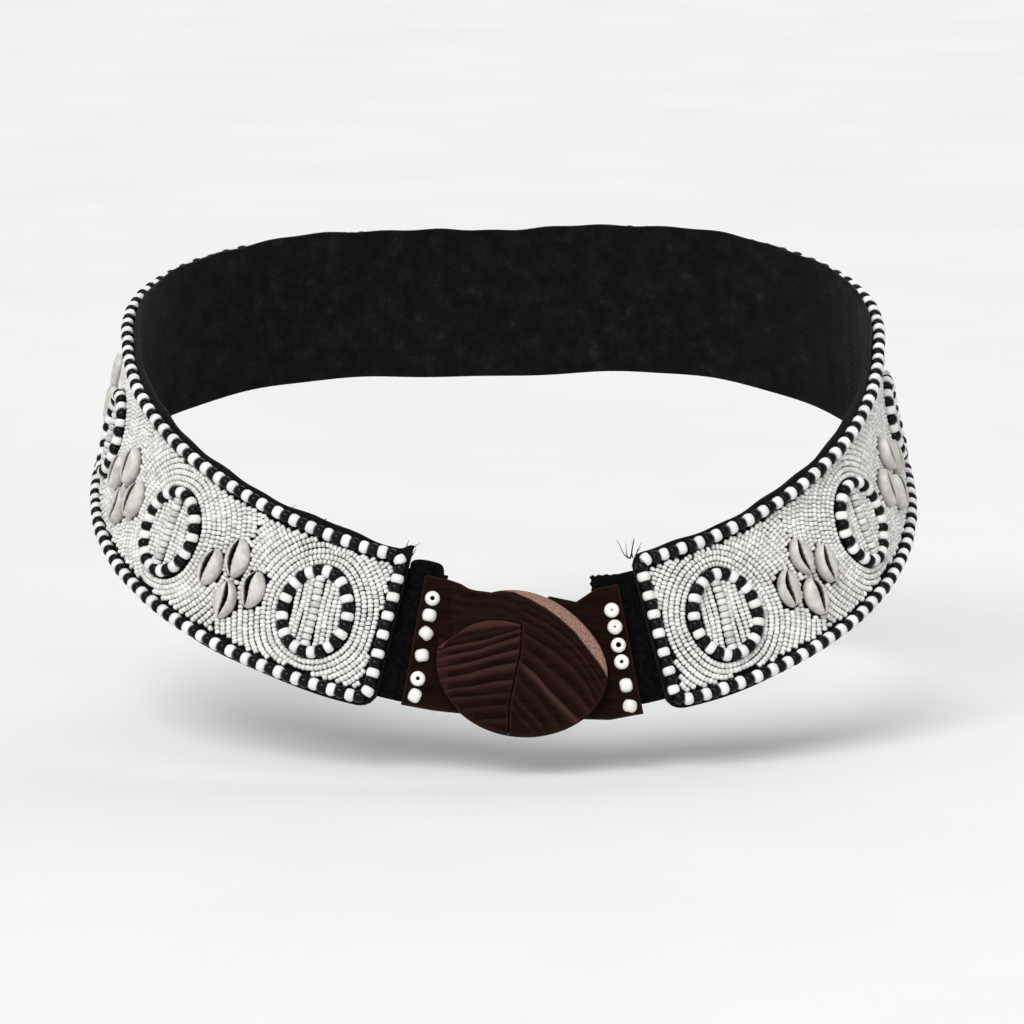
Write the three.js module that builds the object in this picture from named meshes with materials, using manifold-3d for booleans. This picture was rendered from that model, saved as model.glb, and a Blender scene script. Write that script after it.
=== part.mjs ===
// Beaded belt: a black cloth band covered in glass beads and cowrie shells, closed in
// front by two interlocking wooden buckle halves on short straps, in its worn form.
// Millimetres, +Z up, front towards -Y. The origin is the middle of the worn loop.
import * as THREE from "three";
import { mergeVertices } from "three/addons/utils/BufferGeometryUtils.js";
import Module from "manifold-3d";

const wasm = await Module();
wasm.setup();

// Loop on the hips: the middle line of the cloth, seen from above
const loop_half_width = 152.5;
const loop_front_depth = 129;
const loop_back_depth = 94;
const plan_power = 2.26;

// Height of the middle line, low in front and high behind, as waves round the loop
const loop_rise = 56.7;
const height_waves = [
  { turns: 1, cosine_share: -1, sine_share: -0.03 },
  { turns: 2, cosine_share: -0.185, sine_share: -0.04 },
  { turns: 3, cosine_share: 0.062, sine_share: 0 },
];

// Lean of the band: its top edge leans in towards the waist, most of all in front
const lean_all_round_deg = 12.1;
const lean_more_in_front_deg = 6.2;

// Cloth band
const band_width = 62;
const cloth_thickness = 2;
const front_gap = 99;
const gap_offset = 6;
const steps_round_loop = 72;
const steps_across_field = 3;

// Pieces that rest on each other keep this much air between them
const clearance = 0.3;

// String of large beads round the edge of the band
const bead_radius = 2.5;
const edge_inset = 3.4;
const corner_radius = 4;
const corner_steps = 3;
const string_sides = 8;
const string_steps = 64;

// Layer of seed beads
const seed_layer = 1.8;

// Medallions and cowrie groups stand this share of the way from square to upright
const upright_share = 0.45;

// Medallions: an oval ring of large beads round an oval pad of small ones. Each has drifted
// along the band by a share of the pitch, as sewn by hand.
const first_medallion = 30.4;
const medallion_drop = 1.4;
const medallion_drifts = [0, 0.07, 0.07, 0.04, 0, 0, 0, 0, 0, 0, 0];
const ring_half_width = 12.7;
const ring_half_height = 15.8;
const ring_steps = 20;
const pad_height = 1.2;
const pad_dish = 0.6;

// Cowrie shells, in groups of four between the medallions
const shell_half_width = 4.9;
const shell_half_length = 7.7;
const shell_height = 4;
const shell_sides = 10;
const slit_depth = 1.4;
const slit_curve = 0.9;
const shell_rings = [
  { width_share: 0.96, length_share: 0.97, height_share: 0.0, curve_share: 0 },
  { width_share: 0.86, length_share: 0.88, height_share: 0.66, curve_share: 0 },
  { width_share: 0.2, length_share: 0.74, height_share: 1.0, curve_share: 1 },
];
const slit_floor_share = 0.6;
const group_reach = 10.4;
const group_rise = 8.3;
const group_drop = 3;
const group_shells = [
  { reach_share: 0, rise_share: 1, turn_deg: 5 },
  { reach_share: 1, rise_share: 0, turn_deg: -4 },
  { reach_share: 0, rise_share: -1, turn_deg: 3 },
  { reach_share: -1, rise_share: 0, turn_deg: -6 },
];

// Straps from the ends of the band to the buckle
const strap_width = 51;
const strap_thickness = 2;
const strap_tuck = 14;
const strap_show = 7.6;
const strap_under_plate = 9;

// Wooden buckle: a plate on each strap, and over them a disc in two interlocking halves
const buckle_forward = 1.2;
const plate_height = 50.5;
const plate_drop_left = 1.6;
const plate_drop_right = 4.1;
const plate_upright_share = 0.3;
const plate_thickness = 4;
const plate_shoulder_top = 8.5;
const plate_shoulder_foot = 13;
const disc_half_width = 34;
const disc_half_height = 28.8;
const disc_drop = 11.8;
const disc_shift = 1.5;
const disc_thickness = 4.5;
const disc_bevel = 1.2;
const disc_sides = 32;
const tongue_reach = 10;
const tongue_top_share = 0.42;
const tongue_foot_share = 0.72;
const seam_gap = 0.4;

// Seam between the halves, from the end of the neck down to the rim
const seam_line = [
  { x: -0.6, y: -8.7 },
  { x: -1.8, y: -14.1 },
  { x: -3.2, y: -21.3 },
  { x: -4.5, y: -28.5 },
];
const seam_foot_x = -4.8;

// The rim is flatter than an oval at its upper right, where the right plate shows past it
const rim_flat_share = 0.172;
const rim_flat_deg = 40;
const rim_flat_span_deg = 85;
const right_plate_top = [
  { reach_share: 0.57, rise_share: 0.82 },
  { reach_share: 0.27, rise_share: 0.89 },
];

// Neck of the hook, as shares of the disc's half width and half height from its middle.
// Over the top it runs level from the rim and up to the left plate; its lower edge arches.
const neck_top_deg = 113;
const neck_foot_deg = 169;
const neck_top = [
  { reach_share: -0.61, rise_share: 0.96 },
  { reach_share: -0.73, rise_share: 1.04 },
];
const neck_side = [
  { reach_share: -0.93, rise_share: 0.76 },
  { reach_share: -0.97, rise_share: 0.5 },
];
const neck_arch = [
  { reach_share: -0.69, rise_share: 0.43 },
  { reach_share: -0.5, rise_share: 0.54 },
  { reach_share: -0.15, rise_share: 0.52 },
];
const neck_end_share = 0.49;
const neck_post_share = 0.75;

// Studs along the outer edge of each plate, as shares of its height from its middle
const stud_radius = 2.9;
const stud_height = 1.5;
const stud_inset = 4.6;
const stud_sides = 8;
const stud_rows = [
  { left_share: 0.33, right_share: 0.31 },
  { left_share: 0.2, right_share: 0.18 },
  { left_share: 0.06, right_share: 0.04 },
  { left_share: -0.11, right_share: -0.09 },
  { left_share: -0.29, right_share: -0.27 },
  { left_share: -0.42, right_share: -0.43 },
];

// Middle line of the worn loop: a rounded plan whose height follows the waves
class LoopLine extends THREE.Curve {
  constructor() {
    super();
    this.arcLengthDivisions = 1440;
  }

  getPoint(share, target = new THREE.Vector3()) {
    const turn = turnAt(share);
    const side = Math.sin(turn);
    const front = Math.cos(turn);
    const depth = front > 0 ? loop_front_depth : loop_back_depth;
    const side_term = Math.abs(side / loop_half_width) ** plan_power;
    const front_term = Math.abs(front / depth) ** plan_power;
    const reach = (side_term + front_term) ** (-1 / plan_power);
    let height = 0;
    for (const wave of height_waves) {
      height += loop_rise * wave.cosine_share * Math.cos(wave.turns * turn);
      height += loop_rise * wave.sine_share * Math.sin(wave.turns * turn);
    }
    return target.set(reach * side, -reach * front, height);
  }
}

// Angle round the loop, 0 in front and growing towards +X
function turnAt(share) {
  return 2 * Math.PI * (share - 0.5);
}

const loop_line = new LoopLine();
const loop_length = loop_line.getLength();
const panel_start = front_gap / 2;
const panel_end = loop_length - front_gap / 2;
const panel_length = panel_end - panel_start;

// Frame of the band at a distance along it, counted from the middle of the front gap
function bandFrame(along) {
  const share = THREE.MathUtils.euclideanModulo(0.5 + (along + gap_offset) / loop_length, 1);
  const point = loop_line.getPointAt(share);
  const tangent = loop_line.getTangentAt(share);
  const turn = turnAt(loop_line.getUtoTmapping(share));
  const outward = new THREE.Vector3(tangent.y, -tangent.x, 0).normalize();
  const lean_deg = lean_all_round_deg + lean_more_in_front_deg * Math.cos(turn);
  const lean = THREE.MathUtils.degToRad(lean_deg);
  const across = new THREE.Vector3(0, 0, Math.cos(lean)).addScaledVector(outward, -Math.sin(lean));
  across.addScaledVector(tangent, -across.dot(tangent)).normalize();
  const out = new THREE.Vector3().crossVectors(tangent, across);
  return { point, tangent, across, out };
}

// Point of the worn band: distances along it, across it from its middle, and outwards
function onBand(along, across, out) {
  const frame = bandFrame(along);
  return frame.point.addScaledVector(frame.across, across).addScaledVector(frame.out, out);
}

// Bends a flat geometry, whose x, y and z are along, across and out, round the loop
function bendRoundLoop(geometry) {
  const corners = geometry.attributes.position;
  for (let index = 0; index < corners.count; index += 1) {
    const bent = onBand(corners.getX(index), corners.getY(index), corners.getZ(index));
    corners.setXYZ(index, bent.x, bent.y, bent.z);
  }
  return geometry;
}

// Surface through rows of corners, each row a closed outline. Two outlines are closed by
// fans round a middle point or by flat caps, or the rows join up into a ring.
function closedSurface(rows, caps) {
  const sides = rows[0].length;
  const corners = rows.flat();
  const faces = [];
  const row_count = rows.length;
  const bands = caps === "ring" ? row_count : row_count - 1;
  for (let row = 0; row < bands; row += 1) {
    const next_row = (row + 1) % row_count;
    for (let side = 0; side < sides; side += 1) {
      const next_side = (side + 1) % sides;
      const a = row * sides + side;
      const b = row * sides + next_side;
      const c = next_row * sides + next_side;
      const d = next_row * sides + side;
      faces.push(a, b, c, a, c, d);
    }
  }
  const last = (row_count - 1) * sides;
  if (caps === "flat") {
    for (let side = 1; side < sides - 1; side += 1) {
      faces.push(0, side + 1, side, last, last + side, last + side + 1);
    }
  } else if (caps !== "ring") {
    const first_middle = corners.push(caps.first) - 1;
    const last_middle = corners.push(caps.last) - 1;
    for (let side = 0; side < sides; side += 1) {
      const next_side = (side + 1) % sides;
      faces.push(first_middle, next_side, side, last_middle, last + side, last + next_side);
    }
  }
  const geometry = new THREE.BufferGeometry().setFromPoints(corners);
  geometry.setIndex(faces);
  return geometry;
}

// Solids for cutting and joining
function solidOf(geometry) {
  const bare = geometry.clone();
  bare.deleteAttribute("normal");
  bare.deleteAttribute("uv");
  const merged = mergeVertices(bare, 1e-4);
  return new wasm.Manifold(new wasm.Mesh({
    numProp: 3,
    vertProperties: new Float32Array(merged.attributes.position.array),
    triVerts: new Uint32Array(merged.index.array),
  }));
}

function geometryOf(solid) {
  const mesh = solid.getMesh();
  const geometry = new THREE.BufferGeometry();
  geometry.setAttribute("position", new THREE.BufferAttribute(mesh.vertProperties, 3));
  geometry.setIndex(new THREE.BufferAttribute(mesh.triVerts, 1));
  return geometry;
}

// Evenly spaced places from start to end
function evenPlaces(start, end, steps) {
  return Array.from({ length: steps + 1 }, (_, step) => start + ((end - start) * step) / steps);
}

// Closed strip of the band through given places along and across it. Its two broad faces
// are split along the same diagonals, so that strips laid on each other keep their distance.
function bandStrip(alongs, acrosses, inner, outer) {
  const corners = [];
  for (const along of alongs) {
    for (const across of acrosses) {
      corners.push(onBand(along, across, inner), onBand(along, across, outer));
    }
  }
  const at = (column, row, layer) => (column * acrosses.length + row) * 2 + layer;
  const last_column = alongs.length - 1;
  const last_row = acrosses.length - 1;
  const faces = [];
  const addQuad = (a, b, c, d) => faces.push(a, b, c, a, c, d);
  for (let column = 0; column < last_column; column += 1) {
    const next = column + 1;
    for (let row = 0; row < last_row; row += 1) {
      addQuad(at(column, row, 1), at(next, row, 1), at(next, row + 1, 1), at(column, row + 1, 1));
      addQuad(at(column, row, 0), at(column, row + 1, 0), at(next, row + 1, 0), at(next, row, 0));
    }
    addQuad(at(column, 0, 0), at(next, 0, 0), at(next, 0, 1), at(column, 0, 1));
    addQuad(at(column, last_row, 1), at(next, last_row, 1), at(next, last_row, 0), at(column, last_row, 0));
  }
  for (let row = 0; row < last_row; row += 1) {
    addQuad(at(0, row, 0), at(0, row, 1), at(0, row + 1, 1), at(0, row + 1, 0));
    addQuad(
      at(last_column, row, 0),
      at(last_column, row + 1, 0),
      at(last_column, row + 1, 1),
      at(last_column, row, 1),
    );
  }
  const geometry = new THREE.BufferGeometry().setFromPoints(corners);
  geometry.setIndex(faces);
  return geometry;
}

// Angle from square across the band towards upright, at a share of the way
function uprightTurn(along, share) {
  const frame = bandFrame(along);
  return share * Math.atan2(-frame.tangent.z, frame.across.z);
}

// Oval on the flat band round the middle of a medallion, at a height above the cloth
function ovalRow(middle, half_width, half_height, out) {
  const turn = uprightTurn(middle, upright_share);
  const row = [];
  for (let step = 0; step < ring_steps; step += 1) {
    const angle = (2 * Math.PI * step) / ring_steps;
    const spot = new THREE.Vector2(half_width * Math.cos(angle), half_height * Math.sin(angle));
    spot.rotateAround(new THREE.Vector2(), turn);
    row.push(new THREE.Vector3(middle + spot.x, spot.y - medallion_drop, out));
  }
  return row;
}

const cloth_face = cloth_thickness / 2;
const bead_foot = cloth_face + clearance;
const side_share = Math.cos(Math.PI / string_sides);
const face_share = Math.sin(Math.PI / string_sides);
const field_face = bead_foot + seed_layer;
const medallion_count = medallion_drifts.length;
const medallion_pitch = (panel_length - 2 * first_medallion) / (medallion_count - 1);

function medallionPlace(index) {
  return panel_start + first_medallion + (index + medallion_drifts[index]) * medallion_pitch;
}

// Seed bead layer inside the edge string; the cloth shares its facets, so both lie close
const field_inset = edge_inset + bead_radius + clearance;
const field_reach = band_width / 2 - field_inset;
const field_alongs = evenPlaces(panel_start + field_inset, panel_end - field_inset, steps_round_loop);
const field_acrosses = evenPlaces(-field_reach, field_reach, steps_across_field);

function beadField() {
  return bandStrip(field_alongs, field_acrosses, bead_foot, field_face);
}

function backingBand() {
  const alongs = [panel_start, ...field_alongs, panel_end];
  const acrosses = [-band_width / 2, ...field_acrosses, band_width / 2];
  return bandStrip(alongs, acrosses, -cloth_face, cloth_face);
}

// Path of the edge string on the flat band, with its heading, once round
function edgePath() {
  const reach = band_width / 2 - edge_inset;
  const straight_reach = reach - corner_radius;
  const start = panel_start + edge_inset + corner_radius;
  const end = panel_end - edge_inset - corner_radius;
  const path = [];
  const addCorner = (along, across, from_angle) => {
    for (let step = 0; step <= corner_steps; step += 1) {
      const angle = from_angle + (Math.PI / 2) * (step / corner_steps);
      const x = along + corner_radius * Math.cos(angle);
      const y = across + corner_radius * Math.sin(angle);
      path.push({ x, y, side_x: Math.cos(angle), side_y: Math.sin(angle) });
    }
  };
  const addRun = (from, to, across) => {
    for (let step = 1; step < string_steps; step += 1) {
      const x = from + ((to - from) * step) / string_steps;
      path.push({ x, y: across * reach, side_x: 0, side_y: across });
    }
  };
  addCorner(start, -straight_reach, Math.PI);
  addRun(start, end, -1);
  addCorner(end, -straight_reach, -Math.PI / 2);
  addCorner(end, straight_reach, 0);
  addRun(end, start, 1);
  addCorner(start, straight_reach, Math.PI / 2);
  return path;
}

function edgeString() {
  const middle_out = bead_foot + bead_radius * side_share;
  const rows = edgePath().map((place) => {
    const row = [];
    for (let side = 0; side < string_sides; side += 1) {
      const angle = (2 * Math.PI * (side + 0.5)) / string_sides;
      const sideways = bead_radius * Math.cos(angle);
      const x = place.x + sideways * place.side_x;
      const y = place.y + sideways * place.side_y;
      row.push(new THREE.Vector3(x, y, middle_out - bead_radius * Math.sin(angle)));
    }
    return row;
  });
  return bendRoundLoop(closedSurface(rows, "ring"));
}

// Ring of large beads on an oval pad, whose underside is dished clear of the curved band.
// The lower part of the beads, down to the cloth, is inside the seed bead layer.
function medallion(index) {
  const place = medallionPlace(index);
  const foot = field_face + clearance;
  const middle = bead_foot + bead_radius * side_share;
  const profile = [
    { spread: side_share, out: foot },
    { spread: side_share, out: middle + bead_radius * face_share },
    { spread: face_share, out: middle + bead_radius * side_share },
    { spread: -face_share, out: middle + bead_radius * side_share },
    { spread: -side_share, out: middle + bead_radius * face_share },
    { spread: -side_share, out: foot + pad_height },
  ];
  const rows = profile.map((point) => {
    const spread = bead_radius * point.spread;
    return ovalRow(place, ring_half_width + spread, ring_half_height + spread, point.out);
  });
  const middles = {
    first: new THREE.Vector3(place, -medallion_drop, foot + pad_dish),
    last: new THREE.Vector3(place, -medallion_drop, foot + pad_height),
  };
  return bendRoundLoop(closedSurface(rows, middles));
}

// Cowrie shell, slit side out: x across the shell, y along it, z out, standing on z = 0
function cowrieShell() {
  const lip = shell_rings[shell_rings.length - 1];
  const floor = {
    width_share: lip.width_share * slit_floor_share,
    length_share: lip.length_share,
    height_share: 1 - slit_depth / shell_height,
    curve_share: lip.curve_share,
  };
  const rows = [...shell_rings, floor].map((ring) => {
    const row = [];
    for (let side = 0; side < shell_sides; side += 1) {
      const angle = (2 * Math.PI * side) / shell_sides;
      const bow = slit_curve * ring.curve_share * Math.cos(angle + Math.PI / 2) ** 2;
      const x = shell_half_width * ring.width_share * Math.cos(angle) + bow;
      const y = shell_half_length * ring.length_share * Math.sin(angle);
      row.push(new THREE.Vector3(x, y, shell_height * ring.height_share));
    }
    return row;
  });
  return closedSurface(rows, "flat");
}

// Seats a shell of a group on the seed bead layer, turned in the plane of the band
function seatShell(mesh, group_middle, shell) {
  const group_turn = uprightTurn(group_middle, upright_share);
  const rise = new THREE.Vector2(0, shell.rise_share * group_rise);
  rise.rotateAround(new THREE.Vector2(), group_turn);
  const along = group_middle + shell.reach_share * group_reach + rise.x;
  const frame = bandFrame(along);
  mesh.position.copy(onBand(along, rise.y - group_drop, field_face + clearance));
  const axes = new THREE.Matrix4().makeBasis(frame.tangent, frame.across, frame.out);
  mesh.quaternion.setFromRotationMatrix(axes);
  mesh.rotateZ(group_turn + THREE.MathUtils.degToRad(shell.turn_deg));
}

// Plane of the buckle, from the two ends of the band. Sides: -1 left, 1 right
const strap_out = -(cloth_face + clearance + strap_thickness / 2);

function bandEnd(side) {
  const along = side > 0 ? panel_start : -panel_start;
  const frame = bandFrame(along);
  const point = onBand(along, 0, strap_out);
  return { point, away: frame.tangent.multiplyScalar(side), across: frame.across, out: frame.out };
}

function bucklePlane() {
  const left = bandEnd(-1);
  const right = bandEnd(1);
  const side_axis = right.point.clone().sub(left.point).normalize();
  const up_axis = left.across.clone().add(right.across);
  up_axis.addScaledVector(side_axis, -up_axis.dot(side_axis)).normalize();
  const out_axis = new THREE.Vector3().crossVectors(side_axis, up_axis);
  const origin = left.point.clone().add(right.point).multiplyScalar(0.5);
  origin.addScaledVector(out_axis, buckle_forward);
  return { origin, side_axis, up_axis, out_axis };
}

const plane = bucklePlane();
const plane_matrix = new THREE.Matrix4().makeBasis(plane.side_axis, plane.up_axis, plane.out_axis);
plane_matrix.setPosition(plane.origin);

// Where a strap runs in under its plate: edge point and headings, in the buckle's plane
function plateEdge(side) {
  const end = bandEnd(side);
  const offset = end.point.clone().sub(plane.origin);
  const away = new THREE.Vector2(end.away.dot(plane.side_axis), end.away.dot(plane.up_axis)).normalize();
  const middle = new THREE.Vector2(offset.dot(plane.side_axis), offset.dot(plane.up_axis));
  middle.addScaledVector(away, -strap_show);
  const turn = uprightTurn(side * panel_start, plate_upright_share);
  away.rotateAround(new THREE.Vector2(), turn);
  const up = new THREE.Vector2(-away.y, away.x).multiplyScalar(side);
  const drop = side < 0 ? plate_drop_left : plate_drop_right;
  return { middle, away, up, drop };
}

function inPlane(spot, out) {
  return new THREE.Vector3(spot.x, spot.y, out).applyMatrix4(plane_matrix);
}

// Strap: sewn behind the end of the band, bending into the plane behind the plate
function strap(side) {
  const end = bandEnd(side);
  const edge = plateEdge(side);
  const away = new THREE.Vector3(edge.away.x, edge.away.y, 0).transformDirection(plane_matrix);
  const up = new THREE.Vector3(edge.up.x, edge.up.y, 0).transformDirection(plane_matrix);
  const meeting = inPlane(edge.middle, 0);
  const pull = strap_show / 3;
  const bend = new THREE.CubicBezierCurve3(
    end.point,
    end.point.clone().addScaledVector(end.away, -pull),
    meeting.clone().addScaledVector(away, pull),
    meeting,
  );
  const bend_steps = 4;
  const tuck_steps = 2;
  const rows = [];
  const addRow = (middle, across, out) => {
    const row = [[-1, -1], [1, -1], [1, 1], [-1, 1]].map(([wide, thick]) => {
      const corner = middle.clone().addScaledVector(across, -wide * side * (strap_width / 2));
      return corner.addScaledVector(out, thick * (strap_thickness / 2));
    });
    rows.push(row);
  };
  for (let step = tuck_steps; step > 0; step -= 1) {
    const along = side * (panel_start + (strap_tuck * step) / tuck_steps);
    const frame = bandFrame(along);
    addRow(onBand(along, 0, strap_out), frame.across, frame.out);
  }
  for (let step = 0; step <= bend_steps; step += 1) {
    const share = step / bend_steps;
    const across = end.across.clone().lerp(up, share).normalize();
    const out = end.out.clone().lerp(plane.out_axis, share).normalize();
    addRow(bend.getPoint(share), across, out);
  }
  addRow(meeting.clone().addScaledVector(away, -strap_under_plate), up, plane.out_axis);
  return closedSurface(rows, "flat");
}

// Levels of the buckle above the middle of the straps
const plate_back = strap_thickness / 2 + clearance;
const plate_face = plate_back + plate_thickness;
const disc_back = plate_face + clearance;
const disc_face = disc_back + disc_thickness;
const neck_line = -disc_drop + neck_end_share * disc_half_height;
const tongue_end = -tongue_reach;

// Flat outline thickened between two levels, with bevelled edges if asked for
function slab(points, low, high, bevel) {
  const options = { depth: high - low - 2 * bevel, bevelEnabled: bevel > 0, bevelSegments: 1 };
  options.bevelThickness = bevel;
  options.bevelSize = bevel;
  options.bevelOffset = -bevel;
  const geometry = new THREE.ExtrudeGeometry(new THREE.Shape(points), options);
  geometry.translate(0, 0, low + bevel);
  return solidOf(geometry);
}

// Spot on a plate: how far in from its outer edge, and how high from its foot
function onPlate(side, inwards, height) {
  const edge = plateEdge(side);
  const rise = height - edge.drop - plate_height / 2;
  return edge.middle.addScaledVector(edge.away, -inwards).addScaledVector(edge.up, rise);
}

// Plate that carries one strap; it reaches in under the disc as far as inner_x
function plateOutline(side, inner_x) {
  const top = side > 0 ? right_plate_top : [];
  const points = [
    onPlate(side, 0, 0),
    onPlate(side, 0, plate_height),
    onPlate(side, plate_shoulder_top, plate_height),
    ...top.map((spot) => onDisc(spot.reach_share, spot.rise_share)),
    new THREE.Vector2(inner_x, -disc_drop + tongue_top_share * disc_half_height),
    new THREE.Vector2(inner_x, -disc_drop - tongue_foot_share * disc_half_height),
    onPlate(side, plate_shoulder_foot, 0),
  ];
  return side > 0 ? points : points.reverse();
}

// Spot on the disc, as shares of its half width and half height from its middle
function onDisc(reach_share, rise_share) {
  const x = disc_shift + reach_share * disc_half_width;
  return new THREE.Vector2(x, -disc_drop + rise_share * disc_half_height);
}

// Share of the oval's reach that the rim keeps at an angle
function rimShare(angle) {
  const past = Math.min(Math.abs(THREE.MathUtils.radToDeg(angle) - rim_flat_deg) / rim_flat_span_deg, 1);
  return 1 - rim_flat_share * Math.cos((past * Math.PI) / 2) ** 2;
}

// Points of the disc's rim from one angle to another, counter-clockwise
function rimArc(from_angle, to_angle) {
  const steps = Math.max(2, Math.round((disc_sides * (to_angle - from_angle)) / (2 * Math.PI)));
  const points = [];
  for (let step = 0; step <= steps; step += 1) {
    const angle = from_angle + ((to_angle - from_angle) * step) / steps;
    const share = rimShare(angle);
    points.push(onDisc(share * Math.cos(angle), share * Math.sin(angle)));
  }
  return points;
}

const rim_angle_at_seam = Math.acos((seam_foot_x - disc_shift) / disc_half_width);
const neck_top_angle = THREE.MathUtils.degToRad(neck_top_deg);
const neck_foot_angle = THREE.MathUtils.degToRad(neck_foot_deg);

// Lower edge of the neck, from the rim to the seam
function neckArch() {
  const foot = onDisc(Math.cos(neck_foot_angle), Math.sin(neck_foot_angle));
  const spots = neck_arch.map((spot) => onDisc(spot.reach_share, spot.rise_share));
  return [foot, ...spots, new THREE.Vector2(0, neck_line)];
}

// Upper half that belongs to the left plate: the neck over the top and the right half disc
function hookOutline() {
  const seam = seam_gap / 2;
  const points = rimArc(-rim_angle_at_seam, neck_top_angle);
  points[0].x += seam;
  points.push(...neck_top.map((spot) => onDisc(spot.reach_share, spot.rise_share)));
  points.push(onPlate(-1, plate_shoulder_top, plate_height));
  points.push(...neck_side.map((spot) => onDisc(spot.reach_share, spot.rise_share)));
  for (const spot of neckArch()) {
    points.push(new THREE.Vector2(spot.x, spot.y + seam));
  }
  points[points.length - 1].x += seam;
  points.push(...seam_line.map((spot) => new THREE.Vector2(spot.x + seam, spot.y)));
  return points;
}

// Upper half that belongs to the right plate: the left half disc below the neck
function leafOutline() {
  const seam = seam_gap / 2;
  const points = rimArc(neck_foot_angle, 2 * Math.PI - rim_angle_at_seam);
  points[0].y -= seam;
  points[points.length - 1].x -= seam;
  points.push(...seam_line.map((spot) => new THREE.Vector2(spot.x - seam, spot.y)).reverse());
  for (const spot of neckArch().slice(1).reverse()) {
    points.push(new THREE.Vector2(Math.min(spot.x, -seam), spot.y - seam));
  }
  return points;
}

// Turned peg with a rounded head, set into the plate
function studsOn(solid, side) {
  const profile = [
    new THREE.Vector2(0, -plate_thickness / 4),
    new THREE.Vector2(stud_radius, -plate_thickness / 4),
    new THREE.Vector2(stud_radius, stud_height / 2),
    new THREE.Vector2(stud_radius * 0.6, stud_height),
    new THREE.Vector2(0, stud_height),
  ];
  let studded = solid;
  for (const row of stud_rows) {
    const share = side < 0 ? row.left_share : row.right_share;
    const spot = onPlate(side, stud_inset, (0.5 + share) * plate_height);
    const stud = new THREE.LatheGeometry(profile, stud_sides).rotateX(Math.PI / 2);
    stud.translate(spot.x, spot.y, plate_face);
    studded = studded.add(solidOf(stud));
  }
  return studded;
}

// Left half: left plate, and the hook joined to it where the neck passes over the plate
function buckleHalfLeft() {
  const inner_x = tongue_end - seam_gap;
  const plate = slab(plateOutline(-1, inner_x), plate_back, plate_face, 0);
  const hook = slab(hookOutline(), disc_back, disc_face, disc_bevel);
  const arch_top = Math.max(...neckArch().map((spot) => spot.y));
  const joint = [
    new THREE.Vector2(-neck_post_share * disc_half_width, arch_top + disc_bevel + seam_gap),
    new THREE.Vector2(inner_x - 2 * disc_bevel, arch_top + disc_bevel + seam_gap),
    onDisc(-neck_post_share, 0.9),
  ];
  const post = slab(joint, plate_back + plate_thickness / 2, disc_back + disc_thickness / 2, 0);
  return geometryOf(studsOn(plate.add(hook).add(post), -1)).applyMatrix4(plane_matrix);
}

// Right half: right plate with its tongue, and the leaf joined to the end of the tongue
function buckleHalfRight() {
  const plate = slab(plateOutline(1, tongue_end), plate_back, plate_face, 0);
  const leaf = slab(leafOutline(), disc_back, disc_face, disc_bevel);
  const foot = -disc_drop - tongue_foot_share * disc_half_height * 0.9;
  const joint = [
    new THREE.Vector2(tongue_end + disc_bevel, foot),
    new THREE.Vector2(seam_foot_x - disc_bevel, foot),
    new THREE.Vector2(seam_line[1].x - disc_bevel, seam_line[1].y),
    new THREE.Vector2(-disc_bevel, neck_line - disc_bevel - seam_gap),
    new THREE.Vector2(tongue_end + disc_bevel, neck_line - disc_bevel - seam_gap),
  ];
  const post = slab(joint, plate_back + plate_thickness / 2, disc_back + disc_thickness / 2, 0);
  return geometryOf(studsOn(plate.add(leaf).add(post), 1)).applyMatrix4(plane_matrix);
}

// Finishes
const black_cloth = { color: 0x15151a, roughness: 0.95, metalness: 0 };
const white_seed = { color: 0xe6e4ea, roughness: 0.4, metalness: 0 };
const black_bead = { color: 0x1a1a1f, roughness: 0.25, metalness: 0 };
const shell_cream = { color: 0xcfc6b8, roughness: 0.45, metalness: 0 };
const dark_wood = { color: 0x2c1510, roughness: 0.5, metalness: 0 };

const belt = new THREE.Group();

function addPiece(name, geometry, finish) {
  const mesh = new THREE.Mesh(geometry, new THREE.MeshStandardMaterial(finish));
  mesh.name = name;
  belt.add(mesh);
  return mesh;
}

function numbered(name, number) {
  return `${name}_${String(number).padStart(2, "0")}`;
}

addPiece("backing_band", backingBand(), black_cloth);
addPiece("bead_field", beadField(), white_seed);
addPiece("edge_bead_string", edgeString(), black_bead);
for (let index = 0; index < medallion_count; index += 1) {
  addPiece(numbered("medallion", index + 1), medallion(index), black_bead);
}
const shell_geometry = cowrieShell();
for (let group = 0; group < medallion_count - 1; group += 1) {
  const middle = (medallionPlace(group) + medallionPlace(group + 1)) / 2;
  group_shells.forEach((shell, index) => {
    const number = group * group_shells.length + index + 1;
    const mesh = addPiece(numbered("cowrie", number), shell_geometry, shell_cream);
    seatShell(mesh, middle, shell);
  });
}
addPiece("strap_left", strap(-1), black_cloth);
addPiece("strap_right", strap(1), black_cloth);
addPiece("buckle_half_left", buckleHalfLeft(), dark_wood);
addPiece("buckle_half_right", buckleHalfRight(), dark_wood);

export default belt;
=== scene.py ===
"""Looks of the beaded belt, laid over its solids in the same places.

Lengths are in millimetres until a mesh is made, and +Z is up with the front towards -Y. The
band is laid out flat first, along and across, and then bent round the loop.
"""

import math

import bpy
import numpy as np
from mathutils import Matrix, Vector, geometry, kdtree


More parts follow.
